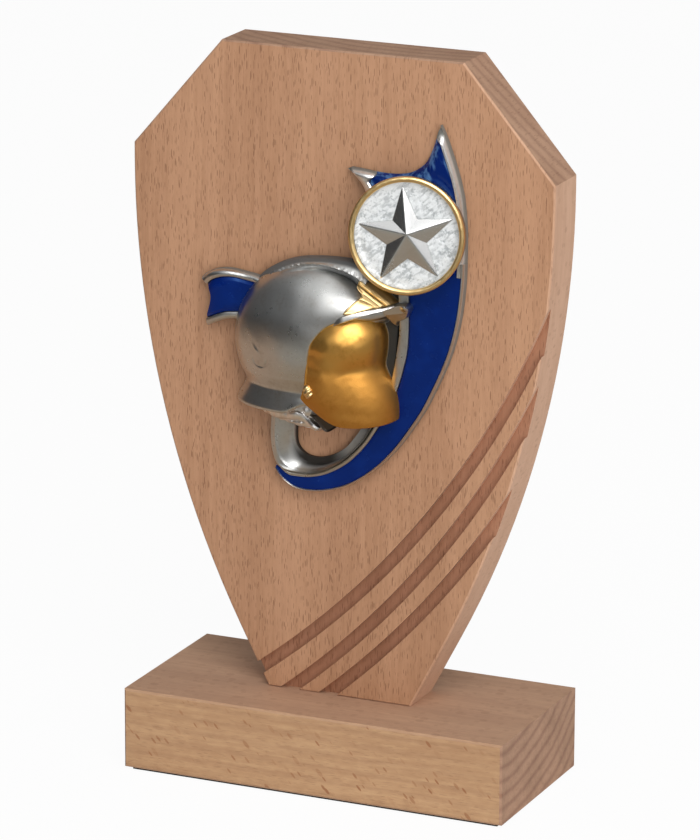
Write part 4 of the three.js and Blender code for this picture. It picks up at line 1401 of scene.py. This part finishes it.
    def crest(self) -> None:
        """The ridge over the dome: a skin from the outer edge up to its line and down to the dome.

        Across it, the outer part starts at a share of the line's height and climbs as a power,
        and the inner part falls in a straight line to the dome with one groove in it.
        """
        outer, line, inner = (smooth_path(rows, 200)[:, None] for rows in (
            self.crest_outer, self.crest_line, self.crest_inner))
        ridge, rise = line[..., :2], line[..., 2:]
        climb = np.linspace(0, 1, 12)[None, :, None]
        fall = climb[:, 1:]
        flat = np.concatenate([outer + (ridge - outer) * climb,
                               ridge + (inner - ridge) * fall], axis=1)
        foot = self.dome.height(inner[..., 0], inner[..., 1])[..., None] - 0.1
        start = 0.62 * rise * smoothstep(climb, -0.2, 0.04)
        high = start + (rise - start) * climb ** 0.9
        low = rise + (foot - rise) * fall - 0.34 * bell(fall, 0.34, 0.13)
        h = np.concatenate([high, low], axis=1)[..., 0]
        near = bell(np.linspace(-1, 1, h.shape[1]), 0.08, 0.32)
        h += 0.17 * ripple(flat[..., 0] * 1.5, flat[..., 1] * 1.5, 1.7, 0.9) * near
        Piece("helmet_comb", ("helmet_crest",), CREST_SILVER, 50.0).down_to(
            lifted(flat, h), self.crest_foot)

    @staticmethod
    def small_fan(edge: tuple, centre: tuple) -> tuple[Array, Array, Array, Array]:
        """A deep fan in a small outline, with finer steps near its edge."""
        shares = np.concatenate([np.linspace(0, 0.9, 26), [0.93, 0.96, 0.98, 1]])
        return deep_fan(edge, 239, centre, shares)

    @staticmethod
    def brow_plane(u: Array, v: Array) -> Array:
        """The plane that the brow plate and the lip's end follow, tilted to the right and up."""
        return 4.3 - 0.45 * (u - 11.5) - 0.6 * (v - 23.6)

    def brow(self) -> None:
        """The brow plate: a flat facet, then two ridges with a valley, then a steep far side."""
        flat, u, v, edge = self.small_fan(self.badge_edge, self.badge_middle)
        start, way = self.badge_ridge
        places, levels = np.array(self.badge_profile).T
        profile = np.interp((flat - start) @ way, places, levels)
        h = np.maximum(self.brow_plane(u, v) + profile, self.dome.height(u, v) + 0.35)
        h += 0.16 * bell(edge, 0.3, 0.16) - 0.3 * smoothstep(edge, 0.14, 0)
        Piece("brow_plate", ("brow_badge",), PALE_GOLD).fanned(
            flat, np.maximum(h, self.badge_least),
            np.maximum(h - self.badge_thickness, self.plate_foot))

    def lip(self) -> None:
        """The lip over the visor: rounded above, and drawn up to the brow's plane at its right."""
        flat, u, v, edge = self.small_fan(self.lip_edge, self.lip_middle)
        ground = self.dome.height(u, v)
        upper = 0.96 * (v - 19.7) - 0.3 * (u - 10.5)
        h = ground + 0.45 * smoothstep(u, 3.8, 6.5) - 0.2 * upper
        h += (self.brow_plane(u, v) + 1.9 - ground) * smoothstep(u, 11, 14)
        h += 0.7 * smoothstep(edge, -0.05, 0.22) * smoothstep(u, 3.8, 7)
        Piece("brow_lip", ("brow_peak",), SILVER).fanned(
            flat, h, np.maximum(h - self.lip_thickness, self.plate_foot))

    def point(self) -> None:
        """The lip's pointed end: two slopes that meet in one bend, with a soft knob on it."""
        flat, u, v, edge = self.small_fan(self.point_edge, self.point_middle)
        bend = (v - 19.3) - 0.18 * (u - 15)
        h = 5.6 + 0.75 * np.minimum(bend, 0) + 0.28 * np.maximum(bend, 0) - 0.12 * (u - 15)
        h += 0.8 * bell(np.hypot(u - 20.3, v - 21.6), 0, 0.9)
        h -= 0.5 * smoothstep(edge, 0.25, 0)
        Piece("brow_point", ("brow_peak",), SILVER).fanned(
            flat, np.maximum(h, 2.4), self.plate_foot + 0.1)

    def pivot(self) -> None:
        """The pivot: a drop-shaped boss with three short ridges along it."""
        middle = np.array(self.boss_place)
        around = np.linspace(0, math.tau, 64, endpoint=False)
        drop = 0.45 * np.clip(np.cos(around - self.boss_turn), 0, 1) ** 3
        radius = self.boss_radius * (1 + drop)
        outline = middle + np.stack([radius * np.cos(around),
                                     1.15 * radius * np.sin(around)], axis=-1)
        shares = np.sin(np.linspace(0, 1, 22) * math.pi / 2)
        flat = fan(outline, self.boss_place, shares)
        along = (flat - middle) @ (math.cos(self.boss_turn), math.sin(self.boss_turn))
        foot, shoulder, rise = self.boss_heights
        h = shoulder + rise * np.sqrt(np.clip(1 - shares**2, 0, 1)) + 0.16 * np.sin(along * 5.5)
        Piece("visor_boss", ("visor_pivot",), PALE_GOLD).fanned(flat, h, foot)

    def lining(self) -> None:
        """The lining under the neck: a half-round creased by ripples."""
        u, level, h = half_ellipses(smooth_path(self.lining_levels, 90), 160)
        v = level + 0.35 * ripple(u, h, 4, 2.0)
        folds = 0.35 * ripple(u * 1.7, v * 0.8, 3.0, 0.6) - 0.5 * bell(v, -8.2 + 0.08 * u, 0.35)
        h = np.maximum(h + folds * (h > 2), self.lining_foot)
        Piece("helmet_lining", ("neck_curtain",), PALE_SILVER).down_to(
            np.stack([u, v, h], axis=-1), WEB_BOTTOM)

    def lining_end(self) -> None:
        """The hollow end of the lining: a fan that turns up at its edge, near black as painted shade
        in the hollow.
        """
        flat, _, v, edge = deep_fan(
            self.hollow_edge, 159, self.hollow_middle, np.linspace(0, 1, 24))
        h = self.hollow_level + 0.4 * smoothstep(edge, 0.5, 0) + 0.15 * (v + 8)
        Piece("helmet_hollow", ("neck_curtain",), HOLLOW_SHADE).fanned(flat, h, self.hollow_foot)

    def strap(self) -> None:
        """The chin strap: a narrow folded band across the lining."""
        left, right = (smooth_path(line, self.band_stations) for line in (
            self.band_left, self.band_right))
        top = Strap(left, right).grid([(0, 7.4), (0.08, 8.0), (0.3, 8.5), (0.8, 8.7)],
                                      [(0.8, 8.6), (0.3, 8.4), (0.08, 7.9), (0, 7.2)])
        top[..., 2] += 0.35 * np.sin(np.linspace(0, 9, self.band_stations))[:, None]
        Piece("chin_band", ("chin_strap",), PALE_SILVER).down_to(top, self.band_foot)

    def build(self) -> None:
        """Makes every part of the helmet."""
        for make in (self.shell, self.visor, self.crest, self.brow, self.lip, self.point,
                     self.pivot, self.lining, self.lining_end, self.strap):
            make()


@dataclass
class Medallion:
    """The medallion: cup, ring, and a disc with a raised star, tipped to the right and up."""

    place: tuple = (21.36, 39.7, 7.0)
    pitch: float = -6.0
    yaw: float = 10.0
    ring_radius: float = 14.1
    ring_width: float = 1.4
    ring_height: float = 1.3
    ring_foot: float = 0.3
    uneven_from: float = 0.6
    wall_inset: float = 0.25
    cup_mouth: float = 12.95
    cup_bulge: float = 0.35
    cup_places: int = 160
    seat: float = 2.3
    foot: tuple = (17.9, 36.8)
    foot_radius: float = 13.3
    disc_radius: float = 12.8
    disc_thickness: float = 1.0
    disc_drop: float = 0.3
    star_radius: float = 12.5
    star_place: tuple = (-0.3, -0.45)
    star_waist: float = 0.42
    star_rise: float = 1.9
    star_peak: tuple = (0.45, 0.95)
    star_foot: float = -0.6
    star_points: int = 5
    ridge_round: float = 0.32
    star_turn: float = 7.0

    def tipped(self, points: Array) -> Array:
        """Takes places from the medallion's own frame to the relief's, by yaw and then pitch.

        Args:
            points: Places in the medallion's own frame.

        Returns:
            The same places in the relief's frame.
        """
        turn = Matrix.Rotation(math.radians(self.pitch), 3, "X") @ Matrix.Rotation(
            math.radians(self.yaw), 3, "Y")
        return points @ np.array(turn).T + np.array(self.place)

    @staticmethod
    def turned(profile: Array, count: int) -> Array:
        """Carries a profile of radius and height round a circle, ring after ring.

        Args:
            profile: Rows of radius and height.
            count: Places in each ring.

        Returns:
            Rings by places by three.
        """
        angle = np.linspace(0, math.tau, count, endpoint=False)[None]
        radius, height = profile[:, :1], profile[:, 1:]
        return np.stack(np.broadcast_arrays(
            radius * np.cos(angle), radius * np.sin(angle), height), axis=-1)

    def cup(self) -> None:
        """The cup: a skin from its foot on the web to the wall under the ring, with a sunk seat."""
        wall, mouth = self.ring_radius - self.wall_inset, self.cup_mouth
        high = self.tipped(self.turned(np.array([
            [wall - 0.25, -self.seat], [wall, -1.6], [wall, -0.15], [wall - 0.15, 0.25],
            [mouth + 0.15, 0.28], [mouth, 0.1], [mouth, -self.seat]]), self.cup_places))
        foot = self.turned(np.array([[self.foot_radius, 0.0]]), self.cup_places)
        foot = foot + (*self.foot, WEB_TOP)
        share = np.linspace(0, 1, 14)[:-1, None, None]
        sides = foot * (1 - share) + high[:1] * share
        outward = (sides - sides.mean(axis=1, keepdims=True))[..., :2] / self.ring_radius
        sides[..., :2] += outward * self.cup_bulge * np.sin(share * math.pi)
        # The cup takes the darker silver as painted shade under the ring.
        Piece("medallion_seat", ("medallion_cup",), DARK_SILVER).rings(
            np.concatenate([sides, high]))

    def ring(self) -> None:
        """The ring: a rounded, slightly uneven bead carried round a circle."""
        angle = np.linspace(0, math.tau, 20, endpoint=False)
        half = self.ring_width / 2
        across = self.ring_radius - half + half * np.cos(angle)
        up = self.ring_foot + self.ring_height * (0.5 + 0.5 * np.sin(angle))
        loops = self.turned(np.stack([across, up], axis=-1), 260)
        uneven = 0.05 * ripple(loops[..., 0], loops[..., 1], 2.6, 0.2)
        loops[..., 2] += uneven * (loops[..., 2] > self.uneven_from)
        Piece("medallion_band", ("medallion_ring",), PALE_GOLD).build(
            self.tipped(loops), grid_faces(*loops.shape[:2], True, True))

    def disc(self) -> None:
        """The disc under the star: a fan with uneven waves, turned up a little at its rim."""
        outline = self.turned(np.array([[self.disc_radius, 0.0]]), 240)[0, :, :2]
        flat = fan(outline, (0, 0), np.linspace(0, 1, 60))
        u, v = flat[..., 0], flat[..., 1]
        h = 0.10 * ripple(u, v, 3.1, 0.5) + 0.04 * ripple(u, v, 1.3, 1.9) - self.disc_drop
        h += 0.35 * smoothstep(np.hypot(u, v), self.disc_radius - 1.6, self.disc_radius)
        under = lifted(flat, -self.disc_drop - self.disc_thickness)
        Piece("star_ground", ("star_disc",), FROST).between(
            self.tipped(lifted(flat, h)), self.tipped(under), ring=True)

    def star(self) -> None:
        """The star: facets fall in straight lines from the peak, and its ridges are rounded.

        On each side of a ridge the height falls with the distance from it. Rounding takes away
        the slope times the root of distance squared plus radius squared, less the distance.
        """
        sides = 2 * self.star_points
        corners = np.arange(sides + 1)
        turn = np.pi / 2 + math.radians(self.star_turn) + corners * math.tau / sides
        reach = np.where(corners % 2 == 0, 1, self.star_waist) * self.star_radius
        tips = np.stack([reach * np.cos(turn), reach * np.sin(turn)], axis=-1)
        share = np.linspace(0, sides, sides * 36, endpoint=False)
        edge = np.stack([np.interp(share, corners, column) for column in tips.T], axis=-1)
        inner = np.linspace(0, 1, 60)
        flat = fan(edge, self.star_peak, inner)
        tip = tips[(2 * np.round(share / 2).astype(int)) % sides] - self.star_peak
        way = (tip / np.linalg.norm(tip, axis=1, keepdims=True))[:, None]
        out = flat - self.star_peak
        off = np.abs(out[..., 0] * way[..., 1] - out[..., 1] * way[..., 0])
        slope = self.star_rise / (self.star_radius * self.star_waist)
        h = 0.2 + self.star_rise * (1 - inner) - slope * (np.hypot(off, self.ridge_round) - off)
        h = h - self.disc_drop - 0.25 * smoothstep(inner, 0.97, 1)
        flat = flat + self.star_place
        Piece("star_raised", ("star_disc",), BRIGHT_FOIL, 12.0).between(
            self.tipped(lifted(flat, h)), self.tipped(lifted(flat, self.star_foot)), ring=True)

    def build(self) -> None:
        """Makes every part of the medallion."""
        for make in (self.cup, self.ring, self.disc, self.star):
            make()


@dataclass
class Woodwork:
    """The shield, the block, the felt, the screws and the pads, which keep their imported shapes."""

    finishes: tuple = (
        (SHIELD_BEECH, ("shield_panel",)), (BLOCK_BEECH, ("base_block",)), (Felt(), ("base_felt",)),
        (Zinc(), ("base_screw_left", "base_screw_right")),
        (Foam(), ("adhesive_pad_upper", "adhesive_pad_lower", "adhesive_pad_tail",
                  "disc_adhesive")))

    def build(self) -> None:
        """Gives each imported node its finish."""
        for finish, nodes in self.finishes:
            for node in nodes:
                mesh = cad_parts[node].data
                mesh.materials.clear()
                mesh.materials.append(finish.material())
                log.info("%s: packed shape, %s", node, finish.name)


@dataclass
class Studio:
    """The camera, the floor, the lamps, and the tent whose walls the metal mirrors.

    A lamp is a name, a direction, a level and a size. A window is a direction, the two angles
    between which it fades, a level, and the height over which it comes up.
    """

    target: tuple = (-0.10, -0.633, 89.35)
    distance: float = 1245.245
    yaw: float = 0.41907
    pitch: float = 0.27930
    roll: float = 0.004652
    focal: float = 5167.5
    sensor: float = 36.0
    far_clip: float = 20.0
    lamp_distance: float = 1.3
    high: tuple = (0.354, -0.612, 0.707)
    lamps: tuple = (("high", high, 0.44, 0.8), ("front", (0.75, -0.65, 0.12), 0.58, 1.1))
    ambient: float = 0.34
    middle: tuple = (0.0, -0.012, 0.11)
    tent_radius: float = 0.62
    tent_steps: tuple = (30, 48)
    tent_tilt: float = 89.0
    tent_foot: float = 0.001
    warm_side: tuple = (-0.85, -0.4)
    window_foot: float = -0.12
    windows: tuple = ((high, (27.0, 10.0), 5.0, 0.5), (high, (58.0, 25.0), 0.7, 0.5),
                      ((0.81, -0.56, 0.17), (85.0, 20.0), 0.36, 0.06))
    walls: tuple = (
        (0.0, (0.40, 0.285, 0.21)), (0.38, (0.48, 0.335, 0.24)), (0.43, (0.29, 0.20, 0.14)),
        (0.457, (0.04, 0.04, 0.04)), (0.63, (0.07, 0.072, 0.075)), (0.75, (0.13, 0.134, 0.138)),
        (0.86, (0.20, 0.207, 0.212)), (1.0, (0.29, 0.30, 0.30)))
    grey_walls: tuple = (
        (0.0, (0.36, 0.26, 0.17)), (0.24, (0.36, 0.28, 0.20)), (0.34, (0.40, 0.395, 0.36)),
        (0.43, (0.24, 0.24, 0.22)), (0.457, (0.04, 0.04, 0.04)), (0.63, (0.07, 0.072, 0.075)),
        (0.80, (0.16, 0.165, 0.17)), (1.0, (0.29, 0.30, 0.30)))
    floor_half: float = 6.0
    floor_shade: float = 0.93
    floor_white: float = 0.95

    def camera(self) -> None:
        """Puts the camera at the photograph's angle, from yaw, pitch, roll and distance."""
        view = Vector((-math.sin(self.yaw) * math.cos(self.pitch),
                       math.cos(self.yaw) * math.cos(self.pitch), -math.sin(self.pitch)))
        right = Vector((math.cos(self.yaw), math.sin(self.yaw), 0))
        up = right.cross(view)
        across = math.cos(self.roll) * right + math.sin(self.roll) * up
        above = math.cos(self.roll) * up - math.sin(self.roll) * right
        spot = Vector(self.target) - view * self.distance
        lens = bpy.data.cameras.new("camera")
        lens.sensor_width = self.sensor
        lens.lens = self.focal * self.sensor / PHOTO_HEIGHT
        lens.clip_end = self.far_clip
        body = linked("camera", lens)
        body.matrix_world = Matrix.Translation(spot * MM) @ Matrix(
            (across, above, -view)).transposed().to_4x4()
        bpy.context.scene.camera = body

    def lights(self) -> None:
        """Soft lamps, each with the power that lights a white card facing it to its level."""
        for name, direction, level, size in self.lamps:
            lamp = bpy.data.lights.new(name, "AREA")
            lamp.shape = "DISK"
            lamp.size = size
            lamp.energy = level * (math.pi * self.lamp_distance) ** 2
            way = Vector(direction).normalized()
            body = linked(name, lamp)
            spot = Vector(self.middle) + way * self.lamp_distance
            turn = way.to_track_quat("Z", "Y").to_matrix().to_4x4()
            body.matrix_world = Matrix.Translation(spot) @ turn
            body.visible_glossy = False

    @staticmethod
    def card(name: str, places: Array, faces: Array,
             shade: Callable[[Bench], Signal]) -> bpy.types.Object:
        """Makes a surface of the studio, which the light is not sampled from.

        Args:
            name: Its name, and its material's.
            places: Its corners, in metres.
            faces: Rows of four numbers.
            shade: Builds its nodes and hands back the shader.

        Returns:
            The object.
        """
        mesh = bpy.data.meshes.new(name)
        mesh.from_pydata(places.tolist(), [], faces.tolist())
        paint = bpy.data.materials.new(name)
        bench = cleared(paint)
        bench.end(shade(bench))
        paint.cycles.emission_sampling = "NONE"
        mesh.materials.append(paint)
        return linked(name, mesh)

    def tent_light(self, bench: Bench) -> Signal:
        """Shines by direction: a warm ramp at the left, a grey one elsewhere, and the windows.

        Args:
            bench: The tree.

        Returns:
            The shader.
        """
        spot = bench.node("ShaderNodeTexCoord", output="Object")
        unit = bench.vector("NORMALIZE", bench.vector("SUBTRACT", spot, self.middle))
        height = bench.axis(unit, "Z")
        warm, grey = (bench.node("ShaderNodeValToRGB", {"stops": stops}, {0: height * 0.5 + 0.5})
                      for stops in (self.walls, self.grey_walls))
        walls = bench.mix(bench.axis(unit, "X").step(*self.warm_side), warm, grey)
        glow = 0.0
        for direction, fade, level, sill in self.windows:
            facing = bench.vector("DOT_PRODUCT", unit, Vector(direction).normalized(),
                                  output="Value")
            spread = facing.step(*(math.cos(math.radians(angle)) for angle in fade))
            glow = spread * height.step(self.window_foot, sill) * level + glow
        bright = bench.node("ShaderNodeCombineXYZ", None, dict.fromkeys((0, 1, 2), glow))
        return bench.node("ShaderNodeEmission", None, {"Color": bench.vector("ADD", walls, bright)})

    def tent(self) -> None:
        """The walls that the metal mirrors: a sphere, cut flat just over the floor.

        A place is the middle plus the radius along (sin a cos e, -cos a cos e, sin e).
        """
        rows, columns = self.tent_steps
        around = np.linspace(0, math.tau, columns, endpoint=False)[None]
        climb = np.radians(np.linspace(-self.tent_tilt, self.tent_tilt, rows))[:, None]
        way = np.stack(np.broadcast_arrays(np.sin(around) * np.cos(climb),
                                           -np.cos(around) * np.cos(climb), np.sin(climb)), axis=-1)
        place = self.middle + self.tent_radius * way
        place[..., 2] = np.maximum(place[..., 2], self.tent_foot)
        tent = self.card("light_tent", place.reshape(-1, 3), grid_faces(rows, columns, False, True),
                         self.tent_light)
        for ray in ("camera", "diffuse", "transmission", "shadow", "volume_scatter"):
            setattr(tent, "visible_" + ray, False)

    @staticmethod
    def seen_directly(bench: Bench) -> Signal:
        """Tells whether a camera, glossy or transmission ray is looking.

        Args:
            bench: The tree.

        Returns:
            1 where it is, else 0.
        """
        rays = [bench.node("ShaderNodeLightPath", output=f"Is {kind} Ray")
                for kind in ("Camera", "Glossy", "Transmission")]
        return rays[0].at_least(rays[1]).at_least(rays[2])

    def floor_light(self, bench: Bench) -> Signal:
        """A matt shade that takes the shadow, mixed with a white of its own for direct rays.

        Args:
            bench: The tree.

        Returns:
            The shader.
        """
        matt = bench.node("ShaderNodeBsdfDiffuse", None, {"Color": (*[self.floor_shade] * 3, 1)})
        white = bench.node("ShaderNodeEmission", None, {"Color": (1, 1, 1, 1)})
        factor = self.seen_directly(bench) * self.floor_white
        return bench.node("ShaderNodeMixShader", None, {0: factor, 1: matt, 2: white})

    def floor(self) -> None:
        """A plain pale floor under the trophy."""
        corners = np.array([(-1, -1), (1, -1), (1, 1), (-1, 1)]) * self.floor_half
        body = self.card("floor", lifted(corners, 0), np.arange(4)[None], self.floor_light)

    def world(self) -> None:
        """A soft even surround, white where it is seen or mirrored."""
        world = bpy.data.worlds.new("studio")
        bench = cleared(world)
        soft, white = (bench.node("ShaderNodeBackground", None, {
            "Color": (1, 1, 1, 1), "Strength": strength}) for strength in (self.ambient, 1.0))
        bench.end(bench.node("ShaderNodeMixShader", None, {
            0: self.seen_directly(bench), 1: soft, 2: white}), "ShaderNodeOutputWorld")
        world.cycles.sampling_method = "NONE"
        bpy.context.scene.world = world
        bpy.context.scene.view_settings.view_transform = "Standard"

    def build(self) -> None:
        """Sets up the whole studio."""
        for make in (self.camera, self.lights, self.tent, self.floor, self.world):
            make()


def main() -> None:
    """Builds the trophy in its order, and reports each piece."""
    logging.basicConfig(level=logging.INFO, format="%(name)s: %(message)s")
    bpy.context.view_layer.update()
    for part in (Woodwork(), Ribbon(), Helmet(), Medallion(), Studio()):
        part.build()
        log.info("%s is done", type(part).__name__)


if __name__ == "__main__":
    main()
